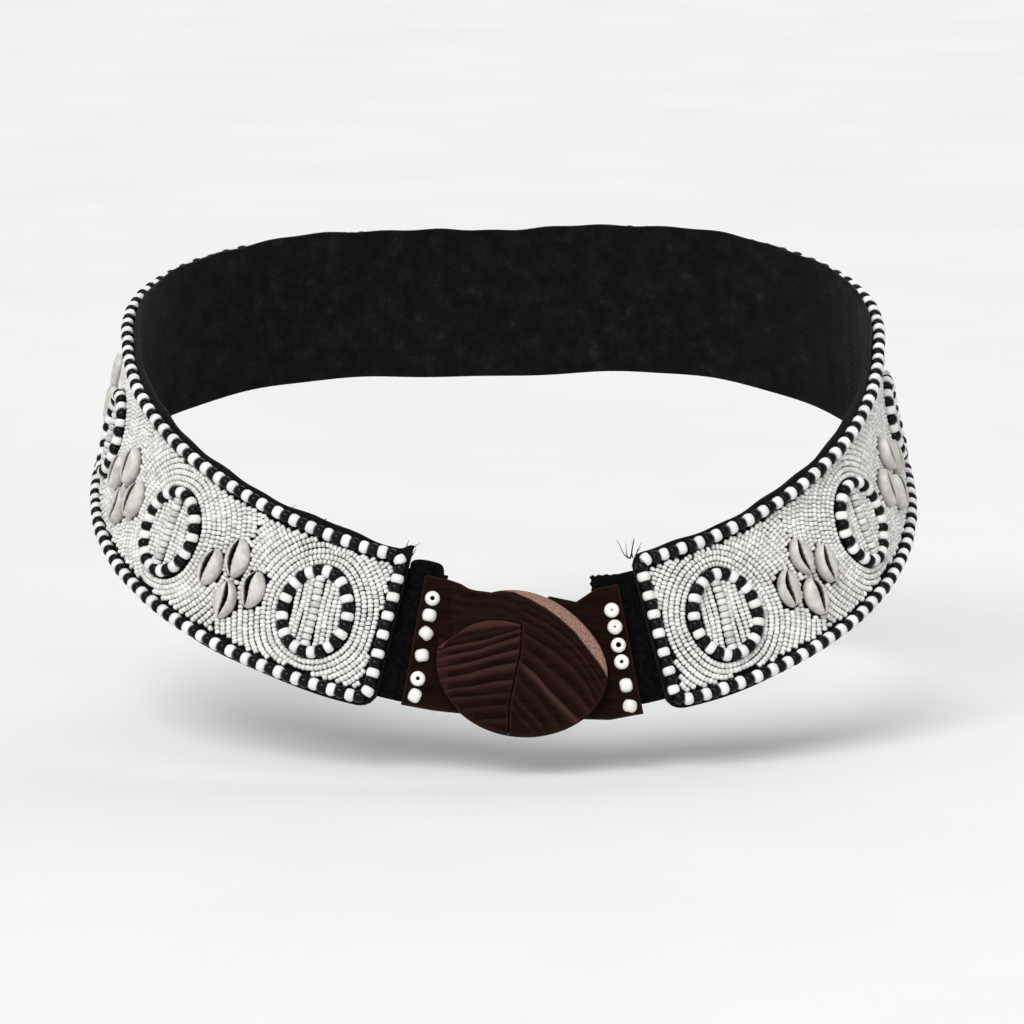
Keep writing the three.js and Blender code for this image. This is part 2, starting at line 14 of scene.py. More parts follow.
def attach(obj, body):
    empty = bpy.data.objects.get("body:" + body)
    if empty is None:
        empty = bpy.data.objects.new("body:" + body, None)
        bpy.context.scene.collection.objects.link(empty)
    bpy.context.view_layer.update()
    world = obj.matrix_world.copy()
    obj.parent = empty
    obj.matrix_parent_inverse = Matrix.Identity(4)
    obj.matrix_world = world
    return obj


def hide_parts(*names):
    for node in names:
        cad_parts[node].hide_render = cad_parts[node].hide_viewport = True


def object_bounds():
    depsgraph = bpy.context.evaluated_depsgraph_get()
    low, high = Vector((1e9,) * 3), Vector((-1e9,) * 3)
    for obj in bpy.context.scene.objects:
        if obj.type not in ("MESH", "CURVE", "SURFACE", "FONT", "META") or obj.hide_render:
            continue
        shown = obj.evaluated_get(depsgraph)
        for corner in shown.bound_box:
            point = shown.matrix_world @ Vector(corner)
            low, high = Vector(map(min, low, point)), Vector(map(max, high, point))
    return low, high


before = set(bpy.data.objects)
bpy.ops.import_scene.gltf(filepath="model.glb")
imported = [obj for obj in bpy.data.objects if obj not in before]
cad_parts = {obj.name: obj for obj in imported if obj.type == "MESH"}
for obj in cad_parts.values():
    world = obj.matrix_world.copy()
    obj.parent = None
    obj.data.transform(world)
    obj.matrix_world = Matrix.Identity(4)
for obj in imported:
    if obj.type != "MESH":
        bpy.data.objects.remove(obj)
cad_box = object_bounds()

MM = 0.001
BODY = "root"
random = np.random.default_rng(7)

# Loop on the hips, as the solids have it
LOOP_HALF_WIDTH = 152.5
LOOP_FRONT_DEPTH = 129
LOOP_BACK_DEPTH = 94
PLAN_POWER = 2.26
LOOP_RISE = 56.7
HEIGHT_WAVES = (
    {"turns": 1, "cosine_share": -1, "sine_share": -0.03},
    {"turns": 2, "cosine_share": -0.185, "sine_share": -0.04},
    {"turns": 3, "cosine_share": 0.062, "sine_share": 0},
)
LEAN_ALL_ROUND_DEG = 12.1
LEAN_MORE_IN_FRONT_DEG = 6.2

# Band, edge string, medallions, shells and straps, as the solids have them
BAND_WIDTH = 62
CLOTH_THICKNESS = 2
FRONT_GAP = 99
GAP_OFFSET = 6
CLEARANCE = 0.3
BEAD_RADIUS = 2.5
EDGE_INSET = 3.4
EDGE_OUTWARD = 0.4
CORNER_RADIUS = 4
SEED_LAYER = 1.8
UPRIGHT_SHARE = 0.45
FIRST_MEDALLION = 30.4
MEDALLION_DROP = 1.4
MEDALLION_DRIFTS = (0, 0.07, 0.07, 0.04, 0, 0, 0, 0, 0, 0, 0)
RING_HALF_WIDTH = 12.7
RING_HALF_HEIGHT = 15.8
SHELL_HALF_WIDTH = 4.9
SHELL_HALF_LENGTH = 7.7
GROUP_REACH = 10.4
GROUP_RISE = 8.3
GROUP_DROP = 3
GROUP_SHELLS = (
    {"reach_share": 0, "rise_share": 1, "turn_deg": 5, "broad_lip": 1},
    {"reach_share": 1, "rise_share": 0, "turn_deg": -4, "broad_lip": 1},
    {"reach_share": 0, "rise_share": -1, "turn_deg": 3, "broad_lip": -1},
    {"reach_share": -1, "rise_share": 0, "turn_deg": -6, "broad_lip": 1},
)
STRAP_WIDTH = 51
STRAP_THICKNESS = 2
STRAP_TUCK = 14
STRAP_SHOW = 7.6
STRAP_UNDER_PLATE = 9

# Wooden buckle, as the solids have it
BUCKLE_FORWARD = 1.2
PLATE_HEIGHT = 50.5
PLATE_DROPS = {-1: 1.6, 1: 4.1}
PLATE_UPRIGHT_SHARE = 0.3
PLATE_THICKNESS = 4
PLATE_SHOULDER_TOP = 8.5
PLATE_SHOULDER_FOOT = 13
DISC_HALF_WIDTH = 34
DISC_HALF_HEIGHT = 28.8
DISC_DROP = 11.8
DISC_SHIFT = 1.5
DISC_THICKNESS = 4.5
TONGUE_REACH = 10
TONGUE_TOP_SHARE = 0.42
TONGUE_FOOT_SHARE = 0.72
SEAM_GAP = 0.16
SEAM_LINE = ((-0.6, -8.7), (-1.8, -14.1), (-3.2, -21.3), (-4.5, -28.5))
SEAM_FOOT_X = -4.8
RIM_FLAT_SHARE = 0.172
RIM_FLAT_DEG = 40
RIM_FLAT_SPAN_DEG = 85
RIGHT_PLATE_TOP = ((0.57, 0.82), (0.27, 0.89))
NECK_TOP_DEG = 113
NECK_FOOT_DEG = 169
NECK_TOP = ((-0.61, 0.96), (-0.73, 1.04))
NECK_SIDE = ((-0.93, 0.76), (-0.97, 0.5))
NECK_ARCH = ((-0.84, 0.31), (-0.7, 0.425), (-0.6, 0.49), (-0.47, 0.535), (-0.32, 0.545), (-0.17, 0.53))
NECK_END_SHARE = 0.49
STUD_RADIUS = 2.9
STUD_INSET = 4.6
STUD_ROWS = (
    {"left": {"share": 0.33, "hole": 0.3}, "right": {"share": 0.31, "hole": 0.13}},
    {"left": {"share": 0.2, "lie_deg": 78}, "right": {"share": 0.18, "hole": 0.13}},
    {"left": {"share": 0.06, "lie_deg": 48}, "right": {"share": 0.04, "hole": 0.36}},
    {"left": {"share": -0.11, "lie_deg": 96}, "right": {"share": -0.09, "hole": 0.24}},
    {"left": {"share": -0.29, "hole": 0.26}, "right": {"share": -0.27, "lie_deg": 12}},
    {"left": {"share": -0.42, "lie_deg": 155}, "right": {"share": -0.43, "lie_deg": 80}},
)

# Beads
SEED_RADIUS = 1.16
SEED_LENGTH = 1.62
SEED_SIDES = 8
ROW_PITCH = 2.31
ROWS_ROUND = 13
COLUMN_PITCH = 2.2
LARGE_LENGTH = 3.74
LARGE_SIDES = 12
RING_BEADS = 26
RING_LIFT = 0.5
CLEAR_RADIUS = 2.0
CLEAR_LENGTH = 2.5
CLEAR_SIDES = 10
STUD_SIDES = 24
BEAD_FILL = 0.97

CLOTH_FACE = CLOTH_THICKNESS / 2
FIELD_REACH = BAND_WIDTH / 2 - EDGE_INSET + EDGE_OUTWARD - BEAD_RADIUS
MEDALLION_COUNT = len(MEDALLION_DRIFTS)


def unit(vectors):
    return vectors / np.linalg.norm(vectors, axis=-1, keepdims=True)


def loop_points(turn):
    """Points of the band's middle line, at angles round the loop from the front."""
    side, front = np.sin(turn), np.cos(turn)
    depth = np.where(front > 0, LOOP_FRONT_DEPTH, LOOP_BACK_DEPTH)
    side_term = np.abs(side / LOOP_HALF_WIDTH) ** PLAN_POWER
    front_term = np.abs(front / depth) ** PLAN_POWER
    reach = (side_term + front_term) ** (-1 / PLAN_POWER)
    height = np.zeros_like(reach)
    for wave in HEIGHT_WAVES:
        height += LOOP_RISE * wave["cosine_share"] * np.cos(wave["turns"] * turn)
        height += LOOP_RISE * wave["sine_share"] * np.sin(wave["turns"] * turn)
    return np.stack([reach * side, -reach * front, height], axis=-1)


LINE_STEPS = 14400
line_turns = np.linspace(-np.pi, np.pi, LINE_STEPS + 1)
line_steps = np.linalg.norm(np.diff(loop_points(line_turns), axis=0), axis=1)
line_lengths = np.concatenate([[0], np.cumsum(line_steps)])
LOOP_LENGTH = line_lengths[-1]
PANEL_START = FRONT_GAP / 2
PANEL_END = LOOP_LENGTH - FRONT_GAP / 2
PANEL_LENGTH = PANEL_END - PANEL_START


def band_frame(along):
    """Point, tangent, across and out of the band, at distances along it."""
    distance = np.mod(LOOP_LENGTH / 2 + np.asarray(along, float) + GAP_OFFSET, LOOP_LENGTH)
    turn = np.interp(distance, line_lengths, line_turns)
    small = 1e-4
    tangent = unit(loop_points(turn + small) - loop_points(turn - small))
    level = np.zeros_like(turn)
    outward = unit(np.stack([tangent[..., 1], -tangent[..., 0], level], axis=-1))
    lean = np.radians(LEAN_ALL_ROUND_DEG + LEAN_MORE_IN_FRONT_DEG * np.cos(turn))
    across = np.stack([level, level, np.cos(lean)], axis=-1) - outward * np.sin(lean)[..., None]
    across = unit(across - tangent * np.sum(across * tangent, axis=-1, keepdims=True))
    return loop_points(turn), tangent, across, np.cross(tangent, across)


def on_band(along, across, out):
    """Points of the worn band from flat ones."""
    along, across, out = np.broadcast_arrays(*(np.asarray(x, float) for x in (along, across, out)))
    point, _, side, face = band_frame(along)
    return point + across[..., None] * side + out[..., None] * face


def upright_turn(along, share):
    _, tangent, across, _ = band_frame(along)
    return share * np.arctan2(-tangent[..., 2], across[..., 2])


def turned(x, y, angle):
    return x * np.cos(angle) - y * np.sin(angle), x * np.sin(angle) + y * np.cos(angle)


def medallion_place(index):
    pitch = (PANEL_LENGTH - 2 * FIRST_MEDALLION) / (MEDALLION_COUNT - 1)
    return PANEL_START + FIRST_MEDALLION + (index + MEDALLION_DRIFTS[index]) * pitch


# Meshes


def surface_of(rows, ring_of_rows=False, capped=False):
    """Corners and triangles through rows of corners, each row a closed outline."""
    rows = np.asarray(rows, float)
    count, sides = rows.shape[:2]
    bands = count if ring_of_rows else count - 1
    row, side = np.meshgrid(np.arange(bands), np.arange(sides), indexing="ij")
    next_row, next_side = (row + 1) % count, (side + 1) % sides
    a, b = row * sides + side, row * sides + next_side
    c, d = next_row * sides + next_side, next_row * sides + side
    faces = [np.stack([a, b, c], -1).reshape(-1, 3), np.stack([a, c, d], -1).reshape(-1, 3)]
    corners = rows.reshape(-1, 3)
    if capped:
        first, last = len(corners), len(corners) + 1
        corners = np.vstack([corners, rows[0].mean(0), rows[-1].mean(0)])
        start = (count - 1) * sides
        turn = np.arange(sides)
        after = (turn + 1) % sides
        faces.append(np.stack([np.full(sides, first), after, turn], -1))
        faces.append(np.stack([np.full(sides, last), start + turn, start + after], -1))
    return corners, np.vstack(faces)


def turned_bead(half, sides, ring_of_rows):
    """Bead round the x axis, its ends alike, from radius and place along the axis in one half."""
    profile = [(radius, -place) for radius, place in reversed(half)] + list(half)
    angles = np.arange(sides) * 2 * np.pi / sides
    rows = []
    for radius, place in profile:
        y, z = radius * np.cos(angles), radius * np.sin(angles)
        rows.append(np.stack([np.full(sides, place), y, z], -1))
    return surface_of(rows, ring_of_rows=ring_of_rows, capped=not ring_of_rows)


def large_bead_shape(sides):
    """Bead of radius 1 and length 1 with a rounded rim and an open hole."""
    return turned_bead(((1.0, 0.16), (0.86, 0.43), (0.58, 0.5), (0.36, 0.4)), sides, True)


def seed_bead_shape(sides):
    """Small bead of radius 1 and length 1, its hole a dimple at each end."""
    corners, faces = turned_bead(((1.0, 0.17), (0.78, 0.5)), sides, False)
    corners[-2, 0] = -0.36
    corners[-1, 0] = 0.36
    return corners, faces


def stud_shape(sides, hole):
    """Plump bead of radius 1 and length 1, whose hole is a share of its radius."""
    body = ((1.0, 0.06), (0.96, 0.2), (0.86, 0.33), (0.7, 0.43))
    rim_of_hole = ((hole + 0.16, 0.49), (hole + 0.03, 0.46), (hole, 0.38))
    return turned_bead(body + rim_of_hole, sides, True)


def copies(shape, places, axes, lengths, radii):
    """One mesh of a bead shape set at many places. The bead's axis follows the first axis."""
    corners, faces = shape
    x = corners[None, :, 0, None] * lengths[:, None, None] * axes[0][:, None]
    y = corners[None, :, 1, None] * radii[:, None, None] * axes[1][:, None]
    z = corners[None, :, 2, None] * radii[:, None, None] * axes[2][:, None]
    spots = (places[:, None] + x + y + z).reshape(-1, 3)
    offsets = (np.arange(len(places)) * len(corners))[:, None, None]
    return spots, (faces[None] + offsets).reshape(-1, 3)


def beads_on_band(shape, flat, heading, out, lengths, radii, fitted=True):
    """Beads laid on the band at flat spots, each axis turned by heading from along.

    Bending the band pulls flat lengths longer at its foot and shorter at its top, and fitted
    beads are as much longer or shorter.
    """
    out = np.broadcast_to(out, heading.shape)
    reach = 0.4 * np.stack([np.cos(heading), np.sin(heading)], -1)
    ahead, behind = flat + reach, flat - reach
    axis = on_band(ahead[:, 0], ahead[:, 1], out) - on_band(behind[:, 0], behind[:, 1], out)
    stretch = np.linalg.norm(axis, axis=1) / 0.8
    point, _, side, face = band_frame(flat[:, 0])
    places = point + flat[:, 1, None] * side + out[:, None] * face
    axis = unit(axis)
    second = unit(np.cross(face, axis))
    axes = (axis, second, np.cross(axis, second))
    return copies(shape, places, axes, lengths * stretch if fitted else lengths, radii)


def joined(meshes):
    """One mesh of several."""
    corners, faces, start = [], [], 0
    for mesh_corners, mesh_faces in meshes:
        corners.append(mesh_corners)
        faces.append(mesh_faces + start)
        start += len(mesh_corners)
    return np.vstack(corners), np.vstack(faces)


def add_piece(name, mesh_data, material, nodes=(), values=None):
    """A piece of the belt from corners and triangles in millimetres."""
    corners, faces = mesh_data
    mesh = bpy.data.meshes.new(name)
    mesh.vertices.add(len(corners))
    mesh.vertices.foreach_set("co", (np.asarray(corners) * MM).astype(np.float32).ravel())
    mesh.loops.add(faces.size)
    mesh.loops.foreach_set("vertex_index", faces.astype(np.int32).ravel())
    mesh.polygons.add(len(faces))
    mesh.polygons.foreach_set("loop_start", np.arange(0, faces.size, 3, dtype=np.int32))
    mesh.polygons.foreach_set("use_smooth", np.ones(len(faces), bool))
    mesh.update(calc_edges=True)
    for key, numbers in (values or {}).items():
        layer = mesh.attributes.new(key, "FLOAT", "POINT")
        layer.data.foreach_set("value", np.asarray(numbers, np.float32))
    mesh.materials.append(material)
    piece = bpy.data.objects.new(name, mesh)
    bpy.context.scene.collection.objects.link(piece)
    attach(piece, BODY)
    if nodes:
        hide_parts(*nodes)
    return piece


# Finishes


class Finish:
    """A material with a Principled shader and small helpers that add nodes to it."""

    def __init__(self, name, **sockets):
        self.material = bpy.data.materials.new(name)
        self.material.use_nodes = True
        self.tree = self.material.node_tree
        self.shader = self.tree.nodes["Principled BSDF"]
        self.place = self.node("ShaderNodeTexCoord").outputs["Object"]
        for key, value in sockets.items():
            self.shader.inputs[key.replace("_", " ")].default_value = value

    def node(self, kind, **settings):
        made = self.tree.nodes.new(kind)
        for key, value in settings.items():
            setattr(made, key, value)
        return made

    def link(self, output, socket):
        self.tree.links.new(output, socket)

    def noise(self, scale, detail=3.0, roughness=0.55, place=None):
        made = self.node("ShaderNodeTexNoise")
        made.inputs["Scale"].default_value = scale
        made.inputs["Detail"].default_value = detail
        made.inputs["Roughness"].default_value = roughness
        self.link(self.place if place is None else place, made.inputs["Vector"])
        return made.outputs["Fac"]

    def stretched(self, scale, turn):
        made = self.node("ShaderNodeMapping")
        made.inputs["Scale"].default_value = scale
        made.inputs["Rotation"].default_value = turn
        self.link(self.place, made.inputs["Vector"])
        return made.outputs["Vector"]

    def attribute(self, name):
        made = self.node("ShaderNodeAttribute", attribute_name=name)
        return made.outputs["Fac"]

    def ramp(self, factor, stops):
        made = self.node("ShaderNodeValToRGB")
        places = made.color_ramp.elements
        while len(places) < len(stops):
            places.new(0.5)
        for place, (at, colour) in zip(places, stops):
            place.position = at
            place.color = (*colour, 1)
        self.link(factor, made.inputs["Fac"])
        return made.outputs["Color"]

    def feed(self, value, socket):
        """Link an output to a socket, or set a number or colour there."""
        if hasattr(value, "is_output"):
            self.link(value, socket)
        else:
            socket.default_value = (*value, 1) if isinstance(value, tuple) else value

    def mix(self, factor, first, second):
        """Mix of two colours, whose sockets are the node's inputs 6 and 7."""
        made = self.node("ShaderNodeMix", data_type="RGBA")
        self.feed(factor, made.inputs["Factor"])
        self.feed(first, made.inputs[6])
        self.feed(second, made.inputs[7])
        return made.outputs[2]

    def math(self, operation, first, second):
        made = self.node("ShaderNodeMath", operation=operation)
        self.feed(first, made.inputs[0])
        self.feed(second, made.inputs[1])
        return made.outputs[0]

    def colour(self, output):
        self.link(output, self.shader.inputs["Base Color"])

    def roughness(self, factor, low, high):
        made = self.node("ShaderNodeMapRange")
        made.inputs["To Min"].default_value = low
        made.inputs["To Max"].default_value = high
        self.link(factor, made.inputs["Value"])
        self.link(made.outputs["Result"], self.shader.inputs["Roughness"])

    def bump(self, height, strength, distance):
        made = self.node("ShaderNodeBump")
        made.inputs["Strength"].default_value = strength
        made.inputs["Distance"].default_value = distance
        self.link(height, made.inputs["Height"])
        self.link(made.outputs["Normal"], self.shader.inputs["Normal"])


def glass_finish(name, dark, light, rough, dusty=0.16, **sockets):
    """Opaque glass bead. The shade of each bead is its own, and dust dulls it in places."""
    finish = Finish(name, **sockets)
    each = finish.ramp(finish.attribute("shade"), ((0.0, dark), (1.0, light)))
    dust = finish.noise(900.0)
    dull = tuple(0.55 * a + 0.45 * 0.3 for a in light)
    finish.colour(finish.mix(finish.math("MULTIPLY", dust, dusty), each, dull))
    finish.roughness(finish.noise(420.0), rough * 0.8, rough * 1.3)
    return finish.material


def shell_finish():
    finish = Finish("cowrie_shell", Coat_Roughness=0.2)
    cloud = finish.noise(260.0, 4.0, 0.6)
    creams = ((0.3, (0.43, 0.41, 0.375)), (0.55, (0.59, 0.57, 0.53)), (0.75, (0.7, 0.685, 0.65)))
    body = finish.ramp(cloud, creams)
    # Painted shadow: the shell grows darker towards its foot, where it meets the beads.
    edge = finish.mix(finish.attribute("edge"), body, (0.12, 0.11, 0.1))
    # Painted shade: the groove of the slit is nearly black and loses its coat and gloss.
    slit = finish.attribute("slit")
    finish.colour(finish.mix(slit, edge, (0.002, 0.0015, 0.0015)))
    open_share = finish.math("SUBTRACT", 1.0, slit)
    finish.link(finish.math("MULTIPLY", open_share, 0.3), finish.shader.inputs["Coat Weight"])
    finish.link(finish.math("MULTIPLY", open_share, 0.5), finish.shader.inputs["Specular IOR Level"])
    finish.roughness(cloud, 0.28, 0.45)
    finish.bump(finish.noise(1300.0), 0.15, 0.0002)
    return finish.material


def cloth_finish():
    """Plain black cotton: two crossed sets of fine waves and a soft grey bloom."""
    finish = Finish("black_cloth", Specular_IOR_Level=0.1, Sheen_Weight=0.05)
    bloom = finish.noise(120.0, 6.0, 0.75)
    stops = ((0.42, (0.0016, 0.0016, 0.0018)), (0.58, (0.006, 0.006, 0.0065)), (0.74, (0.02, 0.02, 0.021)))
    finish.colour(finish.ramp(bloom, stops))
    waves = []
    for direction in ("Z", "DIAGONAL"):
        wave = finish.node("ShaderNodeTexWave", wave_type="BANDS", bands_direction=direction)
        wave.inputs["Scale"].default_value = 420.0
        wave.inputs["Distortion"].default_value = 1.5
        finish.link(finish.place, wave.inputs["Vector"])
        waves.append(wave.outputs["Fac"])
    both = finish.math("ADD", *waves)
    finish.bump(finish.math("ADD", both, finish.noise(700.0)), 0.6, 0.0003)
    finish.roughness(bloom, 0.85, 1.0)
    return finish.material


def strap_finish():
    finish = Finish("black_strap", Specular_IOR_Level=0.03)
    fuzz = finish.noise(500.0, 5.0, 0.7)
    finish.colour(finish.ramp(fuzz, ((0.4, (0.0012, 0.0012, 0.0013)), (0.75, (0.007, 0.0065, 0.0068)))))
    finish.bump(fuzz, 0.5, 0.0004)
    finish.roughness(fuzz, 0.8, 0.95)
    return finish.material


def wood_finish():
    """Dark oiled wood: long grain, ridges lighter by wear and by painted highlight, and bare reddish wood on
    the bevel.
    """
    finish = Finish("carved_wood", Specular_IOR_Level=0.02)
    along_grain = finish.stretched((90.0, 300.0, 520.0), (0.0, 0.25, 0.0))
    grain = finish.noise(1.0, 5.0, 0.65, along_grain)
    fleck = finish.noise(1500.0, 3.0, 0.7)
    dark = finish.ramp(grain, ((0.3, (0.004, 0.0013, 0.0008)), (0.7, (0.013, 0.0047, 0.003))))
    # Lighter wood where the relief says so: real wear on the rubbed rims, and painted highlights along the
    # carved ridges and the almond's top edge.
    worn_and_highlit = finish.mix(finish.attribute("wear"), dark, (0.06, 0.0275, 0.02))
    reds = ((0.3, (0.09, 0.042, 0.032)), (0.5, (0.26, 0.15, 0.12)), (0.7, (0.34, 0.21, 0.175)))
    bare = finish.ramp(fleck, reds)
    finish.colour(finish.mix(finish.attribute("bare"), worn_and_highlit, bare))
    finish.roughness(grain, 0.5, 0.7)
    finish.bump(finish.math("ADD", grain, fleck), 0.3, 0.0004)
    return finish.material


def thread_finish():
    finish = Finish("black_thread", Specular_IOR_Level=0.1)
    twist = finish.noise(3000.0)
    finish.colour(finish.ramp(twist, ((0.3, (0.002, 0.002, 0.002)), (0.8, (0.012, 0.012, 0.012)))))
    finish.roughness(twist, 0.7, 0.9)
    return finish.material


seed_white = glass_finish("seed_white", (0.58, 0.57, 0.555), (0.88, 0.87, 0.85), 0.24, Coat_Weight=0.3)
bead_white = glass_finish("bead_white", (0.72, 0.71, 0.69), (0.88, 0.87, 0.85), 0.18, Coat_Weight=0.35)
bead_black = glass_finish(
    "bead_black", (0.001, 0.001, 0.0012), (0.003, 0.003, 0.0034), 0.13, 0.02, Specular_IOR_Level=0.12
)
bead_clear = glass_finish("bead_clear", (0.46, 0.455, 0.44), (0.78, 0.77, 0.75), 0.12, Coat_Weight=0.5)
stud_bone = glass_finish("stud_bone", (0.74, 0.71, 0.66), (0.9, 0.88, 0.84), 0.3)
shell_cream = shell_finish()
black_cloth = cloth_finish()
black_strap = strap_finish()
carved_wood = wood_finish()
black_thread = thread_finish()


# Large beads of the edge string and of the rings


def edge_path():
    """Spots and headings of the edge string, once round, a tenth of a millimetre apart."""
    inset = EDGE_INSET - EDGE_OUTWARD
    reach = BAND_WIDTH / 2 - inset
    start = PANEL_START + inset + CORNER_RADIUS
    end = PANEL_END - inset - CORNER_RADIUS
    straight = reach - CORNER_RADIUS
    step = 0.1
    spots = []

    def add_run(x0, y0, x1, y1):
        count = int(math.hypot(x1 - x0, y1 - y0) / step)
        share = np.arange(count) / count
        spots.append(np.stack([x0 + (x1 - x0) * share, y0 + (y1 - y0) * share], -1))

    def add_corner(x, y, from_angle):
        count = int(CORNER_RADIUS * math.pi / 2 / step)
        angle = from_angle + math.pi / 2 * np.arange(count) / count
        spots.append(np.stack([x + CORNER_RADIUS * np.cos(angle), y + CORNER_RADIUS * np.sin(angle)], -1))

    add_run(start, -reach, end, -reach)
    add_corner(end, -straight, -math.pi / 2)
    add_run(end + CORNER_RADIUS, -straight, end + CORNER_RADIUS, straight)
    add_corner(end, straight, 0)
    add_run(end, reach, start, reach)
    add_corner(start, straight, math.pi / 2)
    add_run(start - CORNER_RADIUS, straight, start - CORNER_RADIUS, -straight)
    add_corner(start, -straight, math.pi)
    return np.vstack(spots)


def closed_lengths(path, out):
    """Distances along a closed flat path once it is bent round the loop."""
    closed = np.vstack([path, path[:1]])
    bent = on_band(closed[:, 0], closed[:, 1], out)
    return np.concatenate([[0], np.cumsum(np.linalg.norm(np.diff(bent, axis=0), axis=1))])


def along_path(path, out, count, phase=0.0):
    """Evenly spaced spots and headings on a closed flat path, and the room for each."""
    lengths = closed_lengths(path, out)
    closed = np.vstack([path, path[:1]])
    total = lengths[-1]

    def at(distance):
        distance = np.mod(distance, total)
        x = np.interp(distance, lengths, closed[:, 0])
        y = np.interp(distance, lengths, closed[:, 1])
        return np.stack([x, y], -1)

    distance = (np.arange(count) + phase) * total / count
    ahead = at(distance + 0.4) - at(distance - 0.4)
    return at(distance), np.arctan2(ahead[:, 1], ahead[:, 0]), total / count


def scatter(values, spread):
    return values + random.uniform(-spread, spread, np.shape(values))


def add_beads(name, mesh, count, material, nodes):
    """A piece of beads with one finish, each bead in a shade of its own."""
    shades = np.repeat(random.uniform(0, 1, count), len(mesh[0]) // count)
    add_piece(name, mesh, material, nodes, {"shade": shades})


def large_beads(flat, heading, out, pitch):
    """Large beads on a string, a little uneven."""
    count = len(flat)
    spots = scatter(flat, 0.12)
    lengths = np.full(count, pitch * BEAD_FILL) * scatter(np.ones(count), 0.05)
    radii = scatter(np.full(count, BEAD_RADIUS), 0.12)
    level = scatter(np.full(count, out), 0.1)
    return beads_on_band(large_shape, spots, scatter(heading, 0.07), level, lengths, radii, fitted=False)


def add_large_pair(name, flat, heading, out, pitch, nodes):
    """Alternate white and black beads of a string, as one piece of each colour."""
    for colour, first, material in (("white", 0, bead_white), ("black", 1, bead_black)):
        spots = flat[first::2]
        mesh = large_beads(spots, heading[first::2], out, pitch)
        add_beads(f"{name}_{colour}_beads", mesh, len(spots), material, nodes)


large_shape = large_bead_shape(LARGE_SIDES)
clear_shape = large_bead_shape(CLEAR_SIDES)
seed_shape = seed_bead_shape(SEED_SIDES)
string_out = CLOTH_FACE + 0.1 + BEAD_RADIUS
edge_spots = edge_path()
edge_count = 2 * round(closed_lengths(edge_spots, string_out)[-1] / LARGE_LENGTH / 2)
edge_flat, edge_heading, edge_pitch = along_path(edge_spots, string_out, edge_count)
add_large_pair("edge_string", edge_flat, edge_heading, string_out, edge_pitch, ("edge_bead_string",))


def oval_path(index, spread):
    """Flat path round a medallion, a spread outside the middle of its ring."""
    angle = np.linspace(0, 2 * np.pi, 720, endpoint=False)
    x, y = RING_HALF_WIDTH * np.cos(angle), RING_HALF_HEIGHT * np.sin(angle)
    push_x, push_y = np.cos(angle) / RING_HALF_WIDTH, np.sin(angle) / RING_HALF_HEIGHT
    push = spread / np.hypot(push_x, push_y)
    place = medallion_place(index)
    x, y = turned(x + push_x * push, y + push_y * push, upright_turn(place, UPRIGHT_SHARE))
    return np.stack([place + x, y - MEDALLION_DROP], -1)


def add_medallion(index):
    """Ring of large beads round upright rows of small ones, with clear beads in the middle."""
    name = f"medallion_{index + 1:02d}"
    path = oval_path(index, 0)
    ring_out = string_out + RING_LIFT
    flat, heading, pitch = along_path(path, ring_out, RING_BEADS, random.uniform(0, 1))
    add_large_pair(name, flat, heading, ring_out, pitch, (name,))

    place = medallion_place(index)
    turn = upright_turn(place, UPRIGHT_SHARE)
    inner_width = RING_HALF_WIDTH - BEAD_RADIUS + 0.6
    inner_height = RING_HALF_HEIGHT - BEAD_RADIUS + 0.5
    middle_shift = random.uniform(-0.9, 0.1)

    def column(x, length, radius):
        half = inner_height * math.sqrt(max(0, 1 - (x / inner_width) ** 2)) - length / 2
        count = max(1, int(2 * half / length) + 1)
        y = (np.arange(count) - (count - 1) / 2) * length * 1.02 + random.uniform(-0.3, 0.3)
        x_spots = scatter(x + 0.25 * np.sin(y / 4 + random.uniform(0, 6)), 0.08)
        flat_x, flat_y = turned(x_spots, y, turn)
        flat = np.stack([place + flat_x, flat_y - MEDALLION_DROP], -1)
        heading = scatter(np.full(count, turn + np.pi / 2), 0.09)
        lengths = scatter(np.full(count, length * BEAD_FILL), 0.06)
        radii = scatter(np.full(count, radius), 0.05)
        return flat, heading, lengths, radii

    clear = column(middle_shift, CLEAR_LENGTH, CLEAR_RADIUS)
    clear_out = CLOTH_FACE + 1.0 + CLEAR_RADIUS
    mesh = beads_on_band(clear_shape, clear[0], clear[1], clear_out, clear[2], clear[3])
    add_beads(f"{name}_clear_beads", mesh, len(clear[0]), bead_clear, (name,))

    columns = []
    for side in (-1, 1):
        x = middle_shift + side * (CLEAR_RADIUS + SEED_RADIUS - 0.1)
        while abs(x) < inner_width - SEED_RADIUS * 0.6:
            columns.append(column(x, SEED_LENGTH, SEED_RADIUS))
            x += side * COLUMN_PITCH
    flat, heading, lengths, radii = (np.concatenate(part) for part in zip(*columns))
    out = scatter(np.full(len(flat), CLOTH_FACE + 0.9 + SEED_RADIUS), 0.12)
    mesh = beads_on_band(seed_shape, flat, heading, out, lengths, radii)
    add_beads(f"{name}_seed_beads", mesh, len(flat), seed_white, (name,))


for number in range(MEDALLION_COUNT):
    add_medallion(number)


# Cowrie shells


def shell_spots():
    """Flat middle, turn and broad lip side of each shell, in the order of the nodes."""
    spots = []
    for group in range(MEDALLION_COUNT - 1):
        middle = (medallion_place(group) + medallion_place(group + 1)) / 2
        group_turn = float(upright_turn(middle, UPRIGHT_SHARE))
        for shell in GROUP_SHELLS:
            rise_x, rise_y = turned(0.0, shell["rise_share"] * GROUP_RISE, group_turn)
            along = middle + shell["reach_share"] * GROUP_REACH + rise_x
            turn = group_turn + math.radians(shell["turn_deg"])
            spots.append((along, rise_y - GROUP_DROP, turn, shell["broad_lip"]))
    return spots


